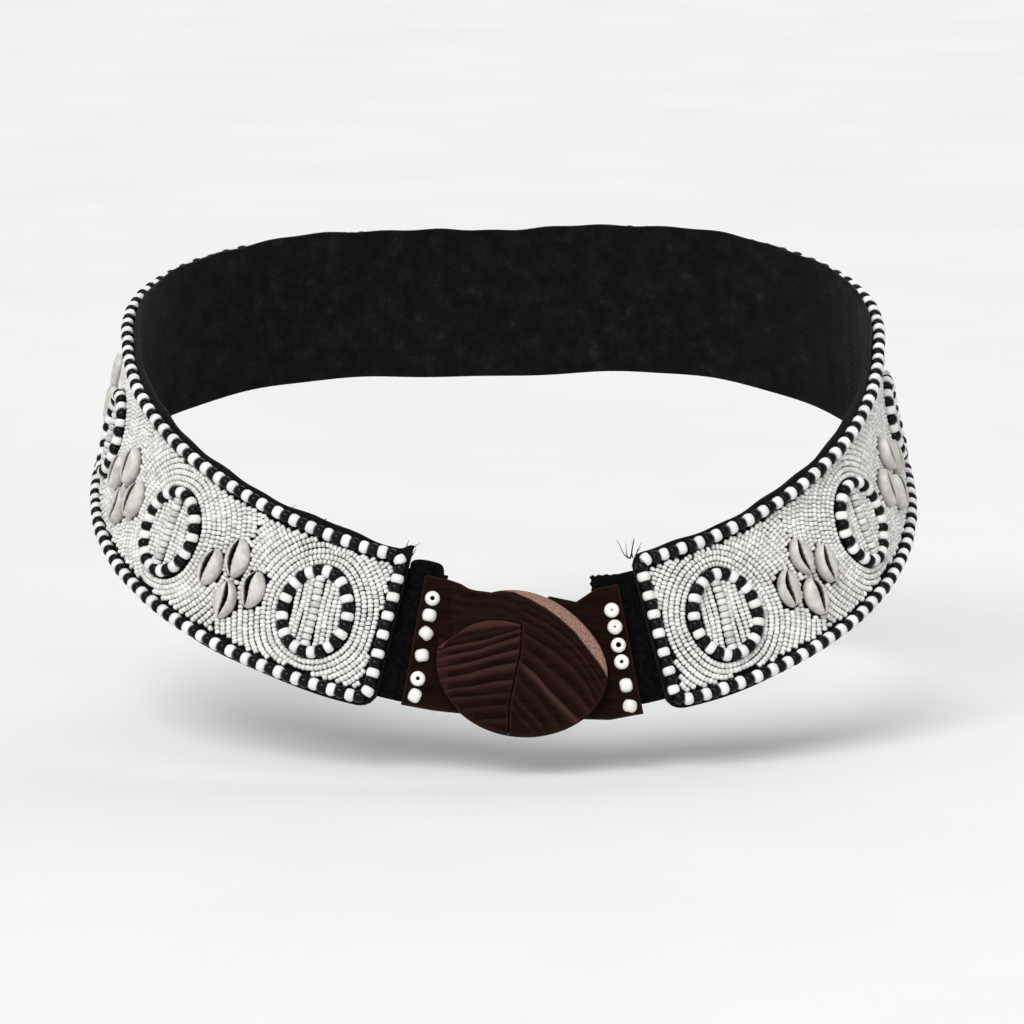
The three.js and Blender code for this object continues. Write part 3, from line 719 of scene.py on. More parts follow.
SHELL_SIDES = 72
SHELL_FOOT = -(SEED_LAYER + CLEARANCE)
# The slit and edge columns are painted shade, in the groove and at the foot; the other columns shape the
# shell.
SHELL_COLUMNS = ("width", "length", "height", "curve", "slit", "edge")
SHELL_ROWS = (
    (0.64, 0.74, SHELL_FOOT, 0, 0, 1),
    (0.9, 0.94, -1.2, 0, 0, 0.9),
    (1.0, 1.0, 0.0, 0, 0, 0.6),
    (0.99, 0.99, 1.1, 0, 0, 0.15),
    (0.92, 0.97, 2.3, 0.15, 0, 0),
    (0.76, 0.955, 3.3, 0.35, 0, 0),
    (0.55, 0.945, 3.85, 0.65, 0, 0),
    (0.33, 0.94, 4.0, 0.9, 0, 0),
    (0.22, 0.935, 3.75, 1, 0.2, 0),
    (0.18, 0.93, 3.1, 1, 0.9, 0),
    (0.16, 0.92, 2.0, 1, 1, 0),
    (0.05, 0.88, 1.7, 1, 1, 0),
)
SHELL_RINGS = [dict(zip(SHELL_COLUMNS, row)) for row in SHELL_ROWS]


def shell_mesh(broad_lip):
    """Shell lying slit side out. Its slit runs from tip to tip, bowed towards the narrow lip."""
    angle = np.arange(SHELL_SIDES) * 2 * np.pi / SHELL_SIDES
    pointed = np.sign(np.cos(angle)) * np.abs(np.cos(angle)) ** 1.32
    teeth = 0.5 + 0.5 * np.cos(angle * SHELL_SIDES / 4)
    size = scatter(1.0, 0.03)
    bend = scatter(1.4, 0.3)
    skew = scatter(0.12, 0.25)
    rows = []
    for ring in SHELL_RINGS:
        place = size * ring["length"] * np.sin(angle)
        bow = np.cos(np.clip(place, -1, 1) * np.pi / 2) + skew * np.sin(np.clip(place, -1, 1) * np.pi)
        shift = -broad_lip * ring["curve"] * bend * bow
        lip = 1 if 0.3 < ring["width"] or ring["height"] < 1 else 1 + 0.2 * teeth + 0.35 * place
        x = SHELL_HALF_WIDTH * size * ring["width"] * pointed * lip + shift
        z = np.full(SHELL_SIDES, float(ring["height"]))
        if ring["curve"]:
            z -= 1.3 * place**4
        rows.append(np.stack([x, SHELL_HALF_LENGTH * place, z], -1))
    values = {}
    # Two painted shades to colour by: the groove of the slit, and the foot of the shell.
    for key, at_caps in (("slit", (0, 1)), ("edge", (1, 0))):
        of_rings = np.repeat([ring[key] for ring in SHELL_RINGS], SHELL_SIDES)
        values[key] = np.concatenate([of_rings, at_caps])
    return surface_of(rows, capped=True), values


def add_shell(number, along, across, turn, broad_lip):
    (corners, faces), values = shell_mesh(broad_lip)
    point, tangent, side, face = band_frame(along)
    x_axis = tangent * math.cos(turn) + side * math.sin(turn)
    y_axis = -tangent * math.sin(turn) + side * math.cos(turn)
    seat = CLOTH_FACE + 2 * CLEARANCE + SEED_LAYER
    middle = point + across * side + seat * face
    placed = middle + corners @ np.stack([x_axis, y_axis, face])
    node = f"cowrie_{number:02d}"
    add_piece(f"{node}_shell", (placed, faces), shell_cream, (node,), values)


shells = shell_spots()
for number, spot in enumerate(shells, 1):
    add_shell(number, *spot)


# Field of seed beads


def oval_distance(flat, index):
    """Rough distance of flat spots from the middle of a medallion's ring."""
    place = medallion_place(index)
    x, y = turned(flat[:, 0] - place, flat[:, 1] + MEDALLION_DROP, -upright_turn(place, UPRIGHT_SHARE))
    ratio = np.hypot(x / RING_HALF_WIDTH, y / RING_HALF_HEIGHT)
    return np.hypot(x, y) * (1 - 1 / np.maximum(ratio, 1e-6))


def free_of_shells(flat, margin):
    free = np.ones(len(flat), bool)
    for along, across, turn, _ in shells:
        near = np.abs(flat[:, 0] - along) < SHELL_HALF_LENGTH + 4
        x, y = turned(flat[near, 0] - along, flat[near, 1] - across, -turn)
        inside = np.hypot(x / (SHELL_HALF_WIDTH + margin), y / (SHELL_HALF_LENGTH + margin)) < 1
        free[np.flatnonzero(near)[inside]] = False
    return free


def in_field(flat, margin):
    """Spots inside the edge string, whose corners are rounded."""
    reach_y = FIELD_REACH - margin
    end_reach = EDGE_INSET - EDGE_OUTWARD + BEAD_RADIUS + margin
    low, high = PANEL_START + end_reach, PANEL_END - end_reach
    rounding = CORNER_RADIUS - BEAD_RADIUS
    x_over = np.maximum(np.maximum(low + rounding - flat[:, 0], flat[:, 0] - high + rounding), 0)
    y_over = np.maximum(np.abs(flat[:, 1]) - reach_y + rounding, 0)
    return np.hypot(x_over, y_over) < rounding


def wobble(flat):
    """Slow drift of hand-sewn rows."""
    x, y = flat[:, 0], flat[:, 1]
    drift_x = 0.28 * np.sin(x / 6.1 + 2.1 * np.sin(y / 7.7)) + 0.12 * np.sin(y / 2.9)
    drift_y = 0.28 * np.sin(y / 5.3 + 1.9 * np.sin(x / 8.3)) + 0.12 * np.sin(x / 3.1)
    return flat + np.stack([drift_x, drift_y], -1)


def rows_round(index):
    """Seed beads in rows round one medallion, as far as halfway to the next ones."""
    out = CLOTH_FACE + SEED_RADIUS
    spots, headings = [], []
    for row in range(ROWS_ROUND):
        path = oval_path(index, BEAD_RADIUS + 0.1 + SEED_RADIUS + row * ROW_PITCH)
        count = int(closed_lengths(path, out)[-1] / (SEED_LENGTH * 1.03))
        flat, heading, _ = along_path(path, out, count, random.uniform(0, 1))
        spots.append(flat)
        headings.append(heading)
    flat, heading = np.concatenate(spots), np.concatenate(headings)
    own = oval_distance(flat, index)
    keep = in_field(flat, SEED_RADIUS * 0.75) & free_of_shells(flat, 0.35)
    for other in (index - 1, index + 1):
        if 0 <= other < MEDALLION_COUNT:
            keep &= own <= oval_distance(flat, other)
    return flat[keep], heading[keep]


def tree_of(flat):
    tree = kdtree.KDTree(len(flat))
    for number, (x, y) in enumerate(flat):
        tree.insert((x, y, 0), number)
    tree.balance()
    return tree


def without_collisions(flat, family):
    """Drops beads that crowd a bead of an earlier family."""
    tree = tree_of(flat)
    kept = np.ones(len(flat), bool)
    for number, (x, y) in enumerate(flat):
        for _, other, _ in tree.find_range((x, y, 0), SEED_LENGTH * 0.9):
            if family[other] < family[number] and kept[other]:
                kept[number] = False
                break
    return kept


def filling_spots(flat, heading):
    """Single beads for the gaps where rows of two families meet, and along the edges."""
    tree = tree_of(flat)
    step = 0.4
    x, y = np.meshgrid(np.arange(PANEL_START, PANEL_END, step), np.arange(-FIELD_REACH, FIELD_REACH, step))
    grid = np.stack([x.ravel(), y.ravel()], -1)
    keep = in_field(grid, SEED_RADIUS * 0.75) & free_of_shells(grid, 0.2)
    for index in range(MEDALLION_COUNT):
        keep &= oval_distance(grid, index) > BEAD_RADIUS + SEED_RADIUS - 0.3
    added, headings, cells = [], [], {}

    def crowded(spot, angle, other):
        """A bead is longer across its heading than along it, so it needs more room there."""
        along, across = turned(other[0] - spot[0], other[1] - spot[1], -angle)
        return math.hypot(along / SEED_LENGTH, across / (2 * SEED_RADIUS)) < 0.86

    for spot in grid[keep]:
        _, nearest, distance = tree.find((*spot, 0))
        if distance < SEED_LENGTH * 0.86:
            continue
        angle = heading[nearest]
        if any(crowded(spot, angle, flat[other]) for _, other, _ in tree.find_range((*spot, 0), 2.1)):
            continue
        cell_x, cell_y = int(spot[0] // 2.4), int(spot[1] // 2.4)
        around = [cells.get((cell_x + i, cell_y + j), ()) for i in (-1, 0, 1) for j in (-1, 0, 1)]
        if any(crowded(spot, angle, other) for group in around for other in group):
            continue
        cells.setdefault((cell_x, cell_y), []).append(spot)
        added.append(spot)
        headings.append(angle)
    return np.array(added), np.array(headings)


def seed_field():
    """Flat spots, headings and medallion numbers of all seed beads of the field."""
    families = [rows_round(index) for index in range(MEDALLION_COUNT)]
    flat = np.concatenate([part[0] for part in families])
    heading = np.concatenate([part[1] for part in families])
    family = np.concatenate([np.full(len(part[0]), index) for index, part in enumerate(families)])
    kept = without_collisions(flat, family)
    flat, heading = flat[kept], heading[kept]
    extra, extra_heading = filling_spots(flat, heading)
    flat = np.concatenate([flat, extra])
    heading = np.concatenate([heading, extra_heading])
    distances = np.stack([oval_distance(flat, index) for index in range(MEDALLION_COUNT)])
    return flat, heading, np.argmin(distances, axis=0)


field_flat, field_heading, field_family = seed_field()
field_flat = scatter(wobble(field_flat), 0.07)
for number in range(MEDALLION_COUNT):
    here = field_family == number
    count = int(here.sum())
    mesh = beads_on_band(
        seed_shape,
        field_flat[here],
        scatter(field_heading[here], 0.12),
        CLOTH_FACE + 0.1 + SEED_RADIUS + random.uniform(-0.08, 0.16, count),
        scatter(np.full(count, SEED_LENGTH * BEAD_FILL), 0.1),
        scatter(np.full(count, SEED_RADIUS), 0.07),
    )
    add_beads(f"seed_rows_{number + 1:02d}", mesh, count, seed_white, ("bead_field",))


# Cloth band


def smooth_step(low, high, value):
    share = np.clip((value - low) / (high - low), 0, 1)
    return share * share * (3 - 2 * share)


def band_cloth():
    """Cloth with uneven cut edges and a soft, slightly puckered inner face."""
    alongs = np.linspace(PANEL_START + 0.3, PANEL_END - 0.2, 520)
    top = BAND_WIDTH / 2 + 0.35 * np.sin(alongs / 9.0) + 0.25 * np.sin(alongs / 3.7 + 1.0)
    top += 1.1 * np.exp(-(((alongs - PANEL_END + 42) / 26) ** 2))
    top += 2.4 * smooth_step(PANEL_END - 6, PANEL_END - 1, alongs)
    foot = -BAND_WIDTH / 2 + 0.7 + 0.25 * np.sin(alongs / 8.0 + 2.0)
    corner = CORNER_RADIUS + BEAD_RADIUS
    near = np.clip(corner - np.minimum(alongs - PANEL_START, PANEL_END - alongs), 0, corner)
    pulled_in = corner - np.sqrt(corner**2 - near**2)
    foot += 0.9 * pulled_in
    top -= 0.9 * pulled_in * (alongs < LOOP_LENGTH / 2)
    face_steps = 16
    shares = np.linspace(0, 1, face_steps)
    edge_angles = np.radians((-60, -30, 0, 30, 60))
    rows = []
    for along, high, low in zip(alongs, top, foot):
        pucker = 0.16 * np.sin(along / 1.9 + 3 * np.sin(along / 23)) * np.sin(shares * 9 + along / 5)
        outer_across, inner_across = low + (high - low) * shares, high + (low - high) * shares
        outer_out = np.full(face_steps, CLOTH_FACE)
        inner_out = -CLOTH_FACE + 0.1 + pucker
        edge_across = CLOTH_FACE * np.cos(edge_angles)
        edge_out = CLOTH_FACE * np.sin(edge_angles)
        foot_edge, top_edge = low - edge_across * 0.6, high + edge_across * 0.6
        across = np.concatenate([inner_across, foot_edge, outer_across, top_edge])
        out = np.concatenate([inner_out, edge_out, outer_out, -edge_out])
        rows.append(on_band(along, across, out))
    return surface_of(rows, capped=True)


cloth = add_piece("band_cloth", band_cloth(), black_cloth, ("backing_band",))


# Plane of the buckle

STRAP_OUT = -(CLOTH_FACE + CLEARANCE + STRAP_THICKNESS / 2)


def band_end(side):
    along = side * PANEL_START
    _, tangent, across, out = band_frame(along)
    return {"point": on_band(along, 0, STRAP_OUT), "away": tangent * side, "across": across, "out": out}


ends = {side: band_end(side) for side in (-1, 1)}
plane_side = unit(ends[1]["point"] - ends[-1]["point"])
plane_up = ends[-1]["across"] + ends[1]["across"]
plane_up = unit(plane_up - plane_side * np.dot(plane_up, plane_side))
plane_out = np.cross(plane_side, plane_up)
plane_origin = (ends[-1]["point"] + ends[1]["point"]) / 2 + plane_out * BUCKLE_FORWARD


def in_plane(x, y, out):
    x, y, out = (np.asarray(value, float)[..., None] for value in (x, y, out))
    return plane_origin + x * plane_side + y * plane_up + out * plane_out


def plate_edge(side):
    end = ends[side]
    offset = end["point"] - plane_origin
    away = unit(np.array([end["away"] @ plane_side, end["away"] @ plane_up]))
    middle = np.array([offset @ plane_side, offset @ plane_up]) - away * STRAP_SHOW
    away = np.array(turned(*away, float(upright_turn(side * PANEL_START, PLATE_UPRIGHT_SHARE))))
    return middle, away, np.array([-away[1], away[0]]) * side


def on_plate(side, inwards, height):
    middle, away, up = plate_edge(side)
    return middle - away * inwards + up * (height - PLATE_DROPS[side] - PLATE_HEIGHT / 2)


# Straps


def strap_rows(side):
    """Middle, across and out of the strap at steps along it, from tuck to plate."""
    end = ends[side]
    middle, away, up = plate_edge(side)
    away_3d = away[0] * plane_side + away[1] * plane_up
    up_3d = up[0] * plane_side + up[1] * plane_up
    meeting = in_plane(middle[0], middle[1], 0.0)
    pull = STRAP_SHOW / 3
    pulls = (end["point"], end["point"] - end["away"] * pull, meeting + away_3d * pull, meeting)
    rows = []
    for along in np.linspace(STRAP_TUCK, 0.5, 8):
        point, _, across, out = band_frame(side * (PANEL_START + along))
        rows.append((point + STRAP_OUT * out, across, out))
    for share in np.linspace(0, 1, 12):
        weights = ((1 - share) ** 3, 3 * share * (1 - share) ** 2, 3 * share**2 * (1 - share), share**3)
        point = sum(weight * pull_point for weight, pull_point in zip(weights, pulls))
        across = unit(end["across"] * (1 - share) + up_3d * share)
        out = unit(end["out"] * (1 - share) + plane_out * share)
        rows.append((point, across, out))
    for inwards in np.linspace(1, STRAP_UNDER_PLATE, 8):
        rows.append((meeting - away_3d * inwards, up_3d, plane_out))
    return rows


def strap_mesh(side):
    """Finely ribbed webbing with rounded selvedges."""
    half = STRAP_WIDTH / 2
    across_places = np.linspace(-half, half, 120)
    ribs = 0.05 * np.sin(across_places * 2 * np.pi / 1.3)
    edge = np.clip((half - np.abs(across_places)) / 1.0, 0, 1)
    face = (STRAP_THICKNESS / 2 - 0.05) * (0.2 + 0.8 * np.sqrt(1 - (1 - edge) ** 2)) + ribs * edge
    rows = []
    for middle, across, out in strap_rows(side):
        upper = middle + across_places[:, None] * across + face[:, None] * out
        under = middle + across_places[::-1, None] * across - face[::-1, None] * out
        rows.append(np.vstack([upper, under]))
    if side > 0:
        rows = rows[::-1]
    return surface_of(rows, capped=True)


for side, word in ((-1, "left"), (1, "right")):
    add_piece(f"strap_webbing_{word}", strap_mesh(side), black_strap, (f"strap_{word}",))


# Carved wooden buckle

PLATE_BACK = STRAP_THICKNESS / 2 + CLEARANCE
PLATE_FACE = PLATE_BACK + PLATE_THICKNESS
DISC_BACK = PLATE_FACE + CLEARANCE
DISC_FACE = DISC_BACK + DISC_THICKNESS


def on_disc(reach_share, rise_share):
    return np.array([DISC_SHIFT + reach_share * DISC_HALF_WIDTH, -DISC_DROP + rise_share * DISC_HALF_HEIGHT])


def rim_share(angle):
    past = np.minimum(np.abs(np.degrees(angle) - RIM_FLAT_DEG) / RIM_FLAT_SPAN_DEG, 1)
    return 1 - RIM_FLAT_SHARE * np.cos(past * np.pi / 2) ** 2


def rim_arc(from_angle, to_angle):
    count = max(2, int(abs(to_angle - from_angle) * 30))
    angles = np.linspace(from_angle, to_angle, count)
    shares = rim_share(angles)
    spots = zip(shares * np.cos(angles), shares * np.sin(angles))
    return np.array([on_disc(reach, rise) for reach, rise in spots])


def curve_through(points, steps=8):
    """Smooth curve through points, which it keeps."""
    points = np.asarray(points, float)
    padded = np.vstack([2 * points[0] - points[1], points, 2 * points[-1] - points[-2]])
    spots = []
    for index in range(1, len(padded) - 2):
        before, start, end, after = padded[index - 1 : index + 3]
        for share in np.arange(steps) / steps:
            bend = (2 * before - 5 * start + 4 * end - after) * share**2
            swing = (3 * start - before - 3 * end + after) * share**3
            spots.append(0.5 * (2 * start + (end - before) * share + bend + swing))
    return np.vstack([spots, points[-1:]])


SEAM_ANGLE = math.acos((SEAM_FOOT_X - DISC_SHIFT) / DISC_HALF_WIDTH)
neck_foot = on_disc(math.cos(math.radians(NECK_FOOT_DEG)), math.sin(math.radians(NECK_FOOT_DEG)))
neck_end = np.array([0.0, -DISC_DROP + NECK_END_SHARE * DISC_HALF_HEIGHT])
neck_arch = curve_through([neck_foot, *(on_disc(*spot) for spot in NECK_ARCH), neck_end])
seam_foot = on_disc(math.cos(SEAM_ANGLE), -math.sin(SEAM_ANGLE))
seam_curve = curve_through([neck_end, *SEAM_LINE, seam_foot])


def hook_outline():
    seam = SEAM_GAP / 2
    rim = rim_arc(-SEAM_ANGLE, math.radians(NECK_TOP_DEG))
    rim[0, 0] += seam
    shoulder = on_plate(-1, PLATE_SHOULDER_TOP, PLATE_HEIGHT)
    top = curve_through([rim[-1], *(on_disc(*spot) for spot in NECK_TOP), shoulder])[1:]
    side = curve_through([shoulder, *(on_disc(*spot) for spot in NECK_SIDE), neck_foot])[1:-1]
    arch = neck_arch + (0, seam)
    arch[-1, 0] += seam
    return np.vstack([rim, top, side, arch, seam_curve[1:-1] + (seam, 0)])


def leaf_outline():
    seam = SEAM_GAP / 2
    rim = rim_arc(math.radians(NECK_FOOT_DEG), 2 * math.pi - SEAM_ANGLE)
    rim[0, 1] -= seam
    rim[-1, 0] -= seam
    arch = neck_arch[1:][::-1] - (0, seam)
    arch[:, 0] = np.minimum(arch[:, 0], -seam)
    return np.vstack([rim, seam_curve[1:-1][::-1] - (seam, 0), arch])


def plate_outline(side, inner_x):
    top = [on_disc(*spot) for spot in RIGHT_PLATE_TOP] if side > 0 else []
    points = np.array(
        [
            on_plate(side, 0, 0),
            on_plate(side, 0, PLATE_HEIGHT),
            on_plate(side, PLATE_SHOULDER_TOP, PLATE_HEIGHT),
            *top,
            (inner_x, -DISC_DROP + TONGUE_TOP_SHARE * DISC_HALF_HEIGHT),
            (inner_x, -DISC_DROP - TONGUE_FOOT_SHARE * DISC_HALF_HEIGHT),
            on_plate(side, PLATE_SHOULDER_FOOT, 0),
        ]
    )
    return points[::-1] if side > 0 else points


def edges_of(outline):
    """Start and end of each edge of a closed outline."""
    return zip(outline, np.roll(outline, -1, axis=0))


def evenly(outline, step):
    """The outline with its corners kept and its edges cut into short steps."""
    spots = []
    for start, end in edges_of(outline):
        count = max(1, round(np.linalg.norm(end - start) / step))
        spots.append(start + (end - start) * (np.arange(count) / count)[:, None])
    return np.vstack(spots)


def rim_distance(spots, outline):
    """Distance of spots from the nearest edge of an outline."""
    nearest = np.full(len(spots), np.inf)
    for start, end in edges_of(outline):
        edge = end - start
        share = np.clip(((spots - start) @ edge) / (edge @ edge), 0, 1)
        gap = np.linalg.norm(spots - start - share[:, None] * edge, axis=1)
        nearest = np.minimum(nearest, gap)
    return nearest


def inside(spots, outline):
    crossings = np.zeros(len(spots), bool)
    for (x0, y0), (x1, y1) in edges_of(outline):
        if y0 == y1:
            continue
        spans = (y0 > spots[:, 1]) != (y1 > spots[:, 1])
        x = x0 + (spots[:, 1] - y0) / (y1 - y0) * (x1 - x0)
        crossings ^= spans & (spots[:, 0] < x)
    return crossings


def signed_area(outline):
    after = np.roll(outline, -1, axis=0)
    return 0.5 * np.sum(outline[:, 0] * after[:, 1] - after[:, 0] * outline[:, 1])


def face_spots(rim, inward, rounding, step):
    """Spots of a slab's face: its rim, bands along the rounding, and a grid within them."""
    low, high = rim.min(0), rim.max(0)
    x, y = np.meshgrid(np.arange(low[0], high[0], step), np.arange(low[1], high[1], step * 0.866))
    x[1::2] += step / 2
    grid = np.stack([x.ravel(), y.ravel()], -1)
    grid = grid[inside(grid, rim)]
    grid = grid[rim_distance(grid, rim) > rounding + step * 0.4]
    bands = []
    for share in (0.12, 0.35, 0.68, 1.05):
        band = rim + inward * rounding * share
        good = inside(band, rim) & (rim_distance(band, rim) > rounding * share * 0.93)
        bands.append(band[good])
    return np.vstack([rim, *bands, grid])


def triangulated(spots, loop):
    """Flat corners and triangles within a loop, and the spot that each corner comes from."""
    result = geometry.delaunay_2d_cdt([Vector(spot) for spot in spots], loop, [], 1, 1e-4)
    flat = np.array([tuple(spot) for spot in result[0]])
    origin = np.array([parents[0] if parents else -1 for parents in result[3]])
    return flat, np.array(result[2]), origin


def carved_slab(outline, back, face, relief, rounding, step):
    """Slab in the plane of the buckle whose face is carved by a relief and rounded at its rim.

    relief takes x and y and gives the height of the large form, the height of the carving,
    which fades at the rim, and the values to paint by.
    """
    if signed_area(outline) < 0:
        outline = outline[::-1]
    rim = evenly(outline, step)
    edge = np.roll(rim, -1, axis=0) - np.roll(rim, 1, axis=0)
    inward = unit(np.stack([-edge[:, 1], edge[:, 0]], -1))
    loop = [(index, (index + 1) % len(rim)) for index in range(len(rim))]
    flat, top_faces, origin = triangulated(face_spots(rim, inward, rounding, step), loop)
    rim_index = np.array([np.flatnonzero(origin == index)[0] for index in range(len(rim))])
    gap = rim_distance(flat, rim)
    gap[rim_index] = 0
    over = np.clip(1 - gap / rounding, 0, 1)
    form, carving, values = relief(flat[:, 0], flat[:, 1])
    carving = carving * np.clip(gap / rounding, 0, 1) ** 0.5
    out = face + form + carving - rounding * (1 - np.sqrt(1 - over**2))
    top = in_plane(flat[:, 0], flat[:, 1], out)
    count = len(rim)
    wall_out = np.minimum(back + 0.25, out[rim_index] - 0.1)
    wall_low = in_plane(rim[:, 0], rim[:, 1], wall_out)
    foot_rim = rim + inward * 0.25
    foot = in_plane(foot_rim[:, 0], foot_rim[:, 1], np.minimum(back, wall_out - 0.1))
    start = len(top)
    turn = np.arange(count)
    after = (turn + 1) % count
    wall = [
        np.stack([rim_index[turn], start + turn, start + after], -1),
        np.stack([rim_index[turn], start + after, rim_index[after]], -1),
        np.stack([start + turn, start + count + turn, start + count + after], -1),
        np.stack([start + turn, start + count + after, start + after], -1),
    ]
    _, flat_under, under_origin = triangulated(rim, loop)
    under_faces = under_origin[flat_under][:, ::-1] + start + count
    corners = np.vstack([top, wall_low, foot])
    faces = np.vstack([top_faces, *wall, under_faces])
    painted = {}
    for key, numbers in values.items():
        painted[key] = np.concatenate([numbers, np.zeros(2 * count)])
    edge_wear = 0.25 * np.exp(-(((gap - rounding * 0.5) / (rounding * 0.4)) ** 2))
    edge_wear *= painted.pop("rim")[: len(flat)]
    painted["wear"][: len(flat)] = np.maximum(painted["wear"][: len(flat)], edge_wear)
    return (corners, faces), painted


# Ridge lines of the carving in the plane of the buckle, each from left to right
LEAF_RIDGES = (
    ((-30, -7), (-28.2, -2.7), (-26, 0), (-21.9, 2.3), (-17, 3.7), (-9.7, 4.2), (-4.2, 2.9), (0, 2)),
    ((-34, -8.4), (-30, -7.2), (-27.7, -5.9), (-19.6, -4.4), (-12.4, -3), (-4.2, -0.2), (0, 1)),
    ((-33.1, -10.9), (-26.8, -9), (-16.9, -7.1), (-9.6, -4.3), (-2.4, -2), (0, -1.4)),
    ((-33.5, -14.6), (-26, -13), (-18, -11.2), (-10, -8.8), (-2, -6.6), (0, -6.2)),
    ((-33.5, -18.1), (-25.8, -17.1), (-20.4, -16.1), (-16.8, -14.7), (-10.5, -12.9), (0, -10.8)),
    ((-33.4, -23.4), (-25.8, -22), (-18.5, -21), (-14.9, -20.1), (-9.5, -18.7), (0, -17.8)),
    ((-32.9, -27.4), (-25.7, -25.1), (-16.7, -24.6), (0, -22.7)),
    ((-31.1, -30.5), (-16.7, -28.6), (0, -27.2)),
    ((-30, -35.6), (-14.8, -33.5), (0, -32.5)),
    ((-30, -40), (-14.8, -38), (0, -37.5)),
)
HOOK_RIDGES = (
    (
        (-6, 15), (-3.4, 14.7), (3, 12), (9.3, 8.5), (14.8, 4.5),
        (20.3, -0.4), (24.8, -6.2), (29.4, -12), (34, -19),
    ),
    ((-6, 9.6), (-1.6, 8.4), (1.2, 7.5), (10.3, 3.1), (18.5, -3.1), (24, -9.3), (29.4, -17.3), (34, -25)),
    (
        (-6, 3.2), (-1.5, 1.2), (5.8, -2.8), (12.2, -6.8),
        (19.4, -12.1), (24.9, -19.2), (28.6, -26.3), (34, -38),
    ),
    (
        (-6, -5.5), (-1, -9.6), (0.4, -11.4), (5.9, -15.8),
        (10.4, -21.1), (16.8, -27.3), (22.2, -32.6), (34, -46),
    ),
    ((-6, -19.6), (-3.1, -23.1), (-0.4, -26.6), (3.2, -30.2), (6.9, -33.7), (8.7, -37.2), (34, -70)),
    ((-6, -30), (-3.1, -33.5), (-0.4, -37), (3.2, -40.6), (34, -80)),
)
CRESCENT_INNER = ((-21.6, 16), (-12.5, 15.6), *HOOK_RIDGES[0][1:-1], (31.7, -15.5), (33, -18))


def feathered(x, y, ridges, depth, halved):
    """Height and painted highlight between ridge lines: each ridge drops steeply, then the wood rises
    slowly.
    """
    lines = np.array([np.interp(x, *zip(*ridge)) for ridge in ridges])
    if halved:
        between = 0.55 * lines[:-1] + 0.45 * lines[1:]
        lines = np.concatenate([np.stack([lines[:-1], between], 1).reshape(-1, len(x)), lines[-1:]])
    height, wear = np.zeros_like(x), np.zeros_like(x)
    for number, (upper, lower) in enumerate(zip(lines, lines[1:])):
        strength = 0.55 if halved and number % 2 else 1
        share = (upper - y) / np.maximum(upper - lower, 0.3)
        here = (share >= 0) & (share < 1)
        drop = 1 - smooth_step(0, 0.17, share)
        rise = np.clip((share - 0.14) / 0.86, 0, 1) ** 0.5
        height = np.where(here, depth * strength * (np.maximum(drop, rise) - 1), height)
        # A band just below each drop is lighter: a painted highlight where the ridge's edge catches the
        # light, partly wear.
        bright = smooth_step(0.12, 0.26, share) * (1 - smooth_step(0.26, 0.85, share))
        wear = np.where(here, strength * bright, wear)
    return height, wear


def crescent(x, y):
    """How far spots lie out from the inner edge of the bare crescent."""
    line = np.interp(x, *zip(*CRESCENT_INNER))
    steepness = np.interp(x, (0, 10, 20, 28, 33), (0.93, 0.87, 0.75, 0.6, 0.5))
    return (y - line) * steepness


def hook_relief(x, y):
    beyond = crescent(x, y)
    start = smooth_step(-22, -2, x)
    bevel = smooth_step(-0.1, 0.25, beyond) * smooth_step(-19, -4, x)
    fall = np.clip(beyond, 0, 8) * 0.42 * start
    height, ridge = feathered(x, y, HOOK_RIDGES, 0.42, True)
    carved = smooth_step(-5.5, 0.5, x - 0.35 * y) * (beyond < 0)
    neck = smooth_step(-11, -29, x) * smooth_step(-6, 0, y)
    form = -fall - neck * (DISC_THICKNESS + 0.55)
    plain = 0.15 * np.sin(x / 3.1 + y / 2.3) * (1 - carved)
    streak = 0.5 + 0.5 * np.sin(y * 1.7 + 0.35 * x + 1.5 * np.sin(x / 5))
    # Ridges are lighter mostly in a diagonal patch of the right half: a painted highlight where the light
    # falls, added to the wear.
    patch = 0.3 + 0.7 * smooth_step(9, 2, np.abs(y + 0.85 * x + 13)) * smooth_step(-3, 4, x)
    wear = 0.75 * ridge * carved * patch + 0.1 * streak * (1 - carved)
    rim = 1 - neck * smooth_step(-24, -29, x)
    return form, height * carved + plain, {"wear": wear, "bare": bevel, "rim": rim}


def leaf_relief(x, y):
    height, ridge = feathered(x, y, LEAF_RIDGES, 0.5, False)
    top = np.interp(x, *zip(*LEAF_RIDGES[0]))
    foot = np.interp(x, *zip(*LEAF_RIDGES[1]))
    share = np.clip((y - foot) / np.maximum(top - foot, 0.3), 0, 1)
    almond = smooth_step(-0.1, 0.5, y - foot)
    veins = 0.5 + 0.5 * np.cos(share * 2 * np.pi * 2.5)
    dome = 0.1 + 0.45 * np.sin(np.pi * share) - 0.25 * veins
    height = height * (1 - almond) + dome * almond
    # The almond's top edge is lighter, a painted highlight where its rounded rim faces the light; the veins
    # darken it a little.
    bright = 0.15 + 0.85 * smooth_step(0.35, 0.9, share) - 0.15 * veins
    # Ridges, and the painted highlights on them, grow stronger towards the top of the leaf.
    patch = 0.3 + 0.7 * smooth_step(-31, -9, y - 0.15 * x)
    height *= 0.35 + 0.65 * patch
    wear = 0.6 * ridge * (1 - almond) * patch + bright * almond
    blocks = smooth_step(-27.5, -28.5, x) * smooth_step(-8, -10, y)
    height -= 0.25 * blocks * (np.sin(y * 1.25) > 0)
    wear = np.maximum(wear, 0.25 * blocks)
    return np.zeros_like(x), height, {"wear": wear, "bare": np.zeros_like(x), "rim": np.ones_like(x)}


def plate_relief(x, y):
    level = np.zeros_like(x)
    height = 0.1 * np.sin(x / 2.6 + 0.7 * np.sin(y / 6.0)) * np.sin(y / 9.0)
    return level, height, {"wear": level, "bare": level, "rim": np.ones_like(x)}


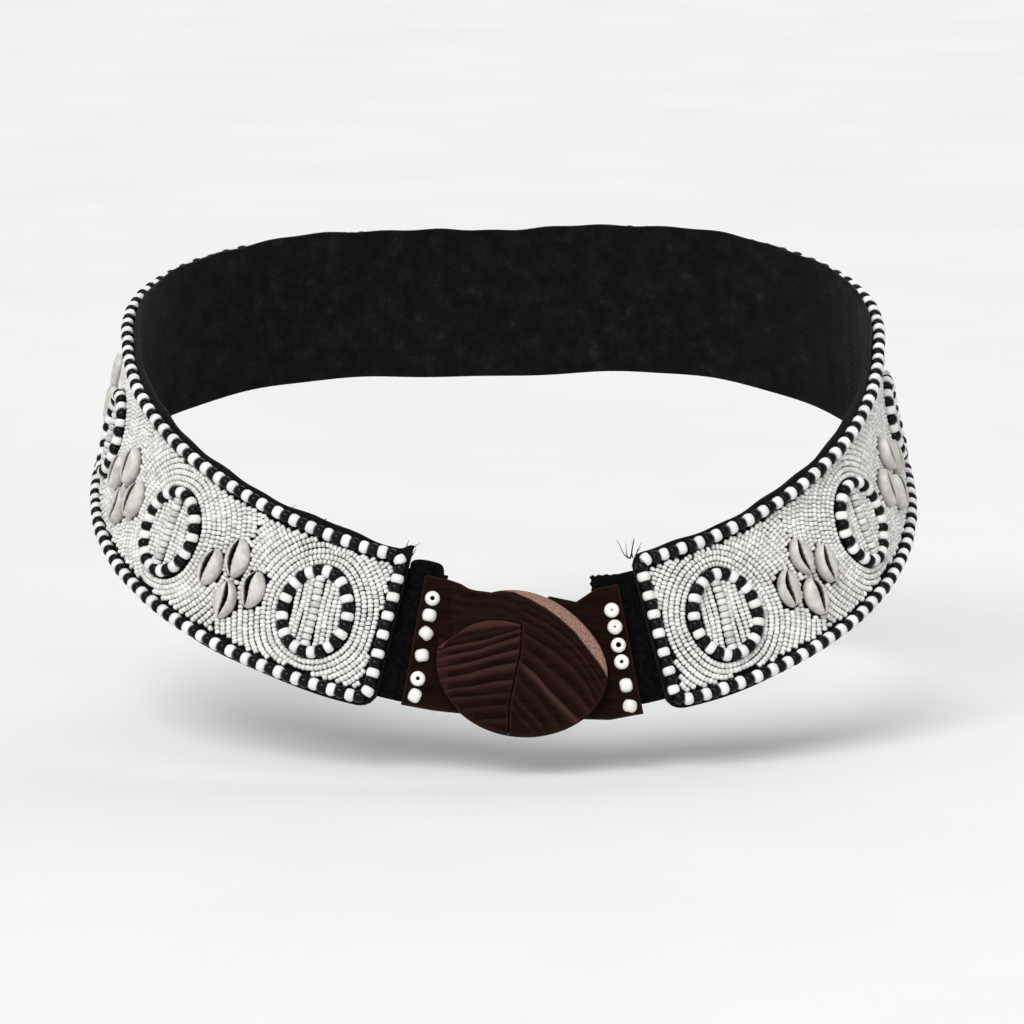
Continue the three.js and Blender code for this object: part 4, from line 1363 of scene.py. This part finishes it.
def cloth_relief(x, y):
    """Small puckers of a folded end of cloth."""
    height = 0.18 * np.sin(x * 1.6 + np.sin(y * 0.9)) + 0.14 * np.sin(y * 2.1 + x * 0.4)
    return np.zeros_like(x), height, {"wear": np.zeros_like(x), "rim": np.ones_like(x)}


def joined_values(parts):
    return {key: np.concatenate([values[key] for values in parts]) for key in parts[0]}


def add_wood(name, slabs, node):
    meshes, values = zip(*slabs)
    add_piece(name, joined(meshes), carved_wood, (node,), joined_values(values))


FINE, COARSE = 0.4, 1.3
SEAM_LIP = np.array([(-9, -31), (-9, -38.6), (-1.5, -39), (-1.5, -31)])


def disc_slab(outline, relief):
    return carved_slab(outline, DISC_BACK - 0.5, DISC_FACE, relief, 1.1, FINE)


def plate_slab(side, inner_x):
    return carved_slab(plate_outline(side, inner_x), PLATE_BACK, PLATE_FACE, plate_relief, 0.7, COARSE)


seam_lip = carved_slab(SEAM_LIP, DISC_BACK - 1.6, DISC_BACK - 0.45, plate_relief, 0.3, COARSE)
hook_slabs = [disc_slab(hook_outline(), hook_relief), plate_slab(-1, -TONGUE_REACH - SEAM_GAP)]
leaf_slabs = [disc_slab(leaf_outline(), leaf_relief), plate_slab(1, -TONGUE_REACH), seam_lip]
add_wood("wooden_hook", hook_slabs, "buckle_half_left")
add_wood("wooden_leaf", leaf_slabs, "buckle_half_right")


# Ends of the straps that show past the tops of the plates

FLAP = (
    (-42.8, 17), (-43, 22), (-42.8, 24.5), (-42, 27.2),
    (-38.8, 28), (-33.3, 27.1), (-30.3, 25.7), (-29.6, 22.8),
)
FLAP_FOOT = ((-30.2, 18.5), (-32, 16.5), (-38, 15.5))
TAB = ((38, 15), (38.2, 23), (36, 23.3), (34, 22.8), (32.6, 23.2), (31, 22.6), (29.6, 23), (28.4, 22.2))
TAB_FOOT = (
    (27.4, 22.8), (26.1, 22), (26.9, 20.6), (26.2, 19.4),
    (27.1, 18.1), (26.7, 16.8), (28, 15.4), (32, 14.6),
)
for piece_name, outline, node in (
    ("strap_flap_left", curve_through([*FLAP, *FLAP_FOOT], 4), "strap_left"),
    ("strap_ragged_tab", np.array([*TAB, *TAB_FOOT]), "strap_right"),
):
    folded, folded_values = carved_slab(outline, -0.9, 1.15, cloth_relief, 0.9, 0.6)
    add_piece(piece_name, folded, black_strap, (node,), folded_values)


def add_studs(side, word):
    """White beads set in the plate, some on end so that their hole shows."""
    meshes = []
    for row in STUD_ROWS:
        stud = row[word]
        spot = on_plate(side, STUD_INSET, (0.5 + stud["share"]) * PLATE_HEIGHT)
        if "hole" in stud:
            first, second = plane_out, plane_side
            level, length, radius = 0.3, 3.6, STUD_RADIUS
        else:
            angle = math.radians(stud["lie_deg"])
            first = math.cos(angle) * plane_side + math.sin(angle) * plane_up
            second = np.cross(plane_out, first)
            level, length, radius = -0.1, 1.72 * STUD_RADIUS, STUD_RADIUS * 0.95
        axes = tuple(axis[None] for axis in (first, second, np.cross(first, second)))
        place = in_plane(spot[0], spot[1], PLATE_FACE + level)[None]
        shape = stud_shape(STUD_SIDES, stud.get("hole", 0.2))
        meshes.append(copies(shape, place, axes, np.array([length]), np.array([radius])))
    name, nodes = f"studs_{word}", (f"buckle_half_{word}",)
    add_beads(name, joined(meshes), len(meshes), stud_bone, nodes)


add_studs(-1, "left")
add_studs(1, "right")


# Loose sewing threads at the corners of the panels and on the top edge


def thread(start, direction, length, curl):
    """Thin tube that leaves the cloth and curls."""
    direction = unit(np.asarray(direction, float))
    sideways = unit(np.cross(direction, (0.3, 0.8, 0.5)))
    lift = np.cross(direction, sideways)
    steps, sides, radius = 10, 5, 0.26
    share = np.linspace(0, 1, steps)
    sway = curl * length * share**2
    line = start + direction * (share * length)[:, None] + sideways * sway[:, None]
    line += lift * (0.12 * length * np.sin(share * 5))[:, None]
    rows = []
    for point, amount in zip(line, share):
        angle = np.arange(sides) * 2 * np.pi / sides
        ring = np.cos(angle)[:, None] * sideways + np.sin(angle)[:, None] * lift
        rows.append(point + ring * radius * (1 - 0.65 * amount))
    return surface_of(rows, capped=True)


def loose_threads():
    strands = []
    top = BAND_WIDTH / 2 + 0.4
    corners = (
        {"along": PANEL_START + 1.0, "count": 7, "spread": 3.0, "longest": 10.0},
        {"along": PANEL_END - 1.0, "count": 5, "spread": 2.5, "longest": 6.0},
        {"along": PANEL_END - 46, "count": 9, "spread": 14, "longest": 4.0},
    )
    for corner in corners:
        for _ in range(corner["count"]):
            along = corner["along"] + random.uniform(-1, 1) * corner["spread"]
            along = float(np.clip(along, PANEL_START, PANEL_END))
            _, tangent, across, out = band_frame(along)
            lean = random.uniform(-0.7, 0.7)
            direction = across + tangent * lean + out * random.uniform(-0.1, 0.35)
            length = random.uniform(0.4, 1.0) * corner["longest"]
            root = on_band(along, top - 1.5, 0.2)
            strands.append(thread(root, direction, length, random.uniform(-0.4, 0.4)))
    return joined(strands)


add_piece("loose_threads", loose_threads(), black_thread)


# Floor, light and camera

FLOOR_GAP = 0.016
FLOOR_HALF = 40.0
floor_z = cad_box[0][2] - FLOOR_GAP
floor_corners = [(x * FLOOR_HALF, y * FLOOR_HALF, floor_z) for x, y in ((-1, -1), (1, -1), (1, 1), (-1, 1))]
floor_mesh = bpy.data.meshes.new("floor")
floor_mesh.from_pydata(floor_corners, [], [(0, 1, 2, 3)])
floor = bpy.data.objects.new("floor", floor_mesh)
bpy.context.scene.collection.objects.link(floor)
pale = Finish("pale_floor", Roughness=0.9, Specular_IOR_Level=0.1)
pale.colour(pale.ramp(pale.noise(6.0), ((0.3, (0.8, 0.795, 0.785)), (0.7, (0.83, 0.825, 0.815)))))
floor_mesh.materials.append(pale.material)


def add_light(kind, name, place, power, **settings):
    light = bpy.data.lights.new(name, kind)
    light.energy = power
    for key, value in settings.items():
        setattr(light, key, value)
    lamp = bpy.data.objects.new(name, light)
    lamp.location = place
    lamp.rotation_euler = (-Vector(place)).to_track_quat("-Z", "Y").to_euler()
    bpy.context.scene.collection.objects.link(lamp)


add_light("SUN", "key", (-0.8, -1.6, 1.7), 2.0, angle=math.radians(35))
add_light("SUN", "back", (0.9, 1.7, 1.2), 0.7, angle=math.radians(50))
add_light("AREA", "front", (0.6, -2.2, 0.7), 7, size=0.9)

world = bpy.data.worlds.new("soft_room")
world.use_nodes = True
world.node_tree.nodes["Background"].inputs["Color"].default_value = (0.97, 0.98, 1.0, 1)
world.node_tree.nodes["Background"].inputs["Strength"].default_value = 0.55
bpy.context.scene.world = world
bpy.context.scene.view_settings.view_transform = "Standard"

# The photograph's camera stands level, 2.4 m in front and 0.33 m above the loop's middle. This
# one stands at the same spot, turned down to the belt, with a longer lens.
CAMERA_PLACE = Vector((0.003, -2.4, 0.326))
CAMERA_AIM = Vector((0.0035, -0.05, -0.0235))
camera_data = bpy.data.cameras.new("camera")
camera_data.sensor_width = 36
camera_data.lens = 212
camera = bpy.data.objects.new("camera", camera_data)
camera.location = CAMERA_PLACE
camera.rotation_euler = (CAMERA_AIM - CAMERA_PLACE).to_track_quat("-Z", "Y").to_euler()
bpy.context.scene.collection.objects.link(camera)
bpy.context.scene.camera = camera
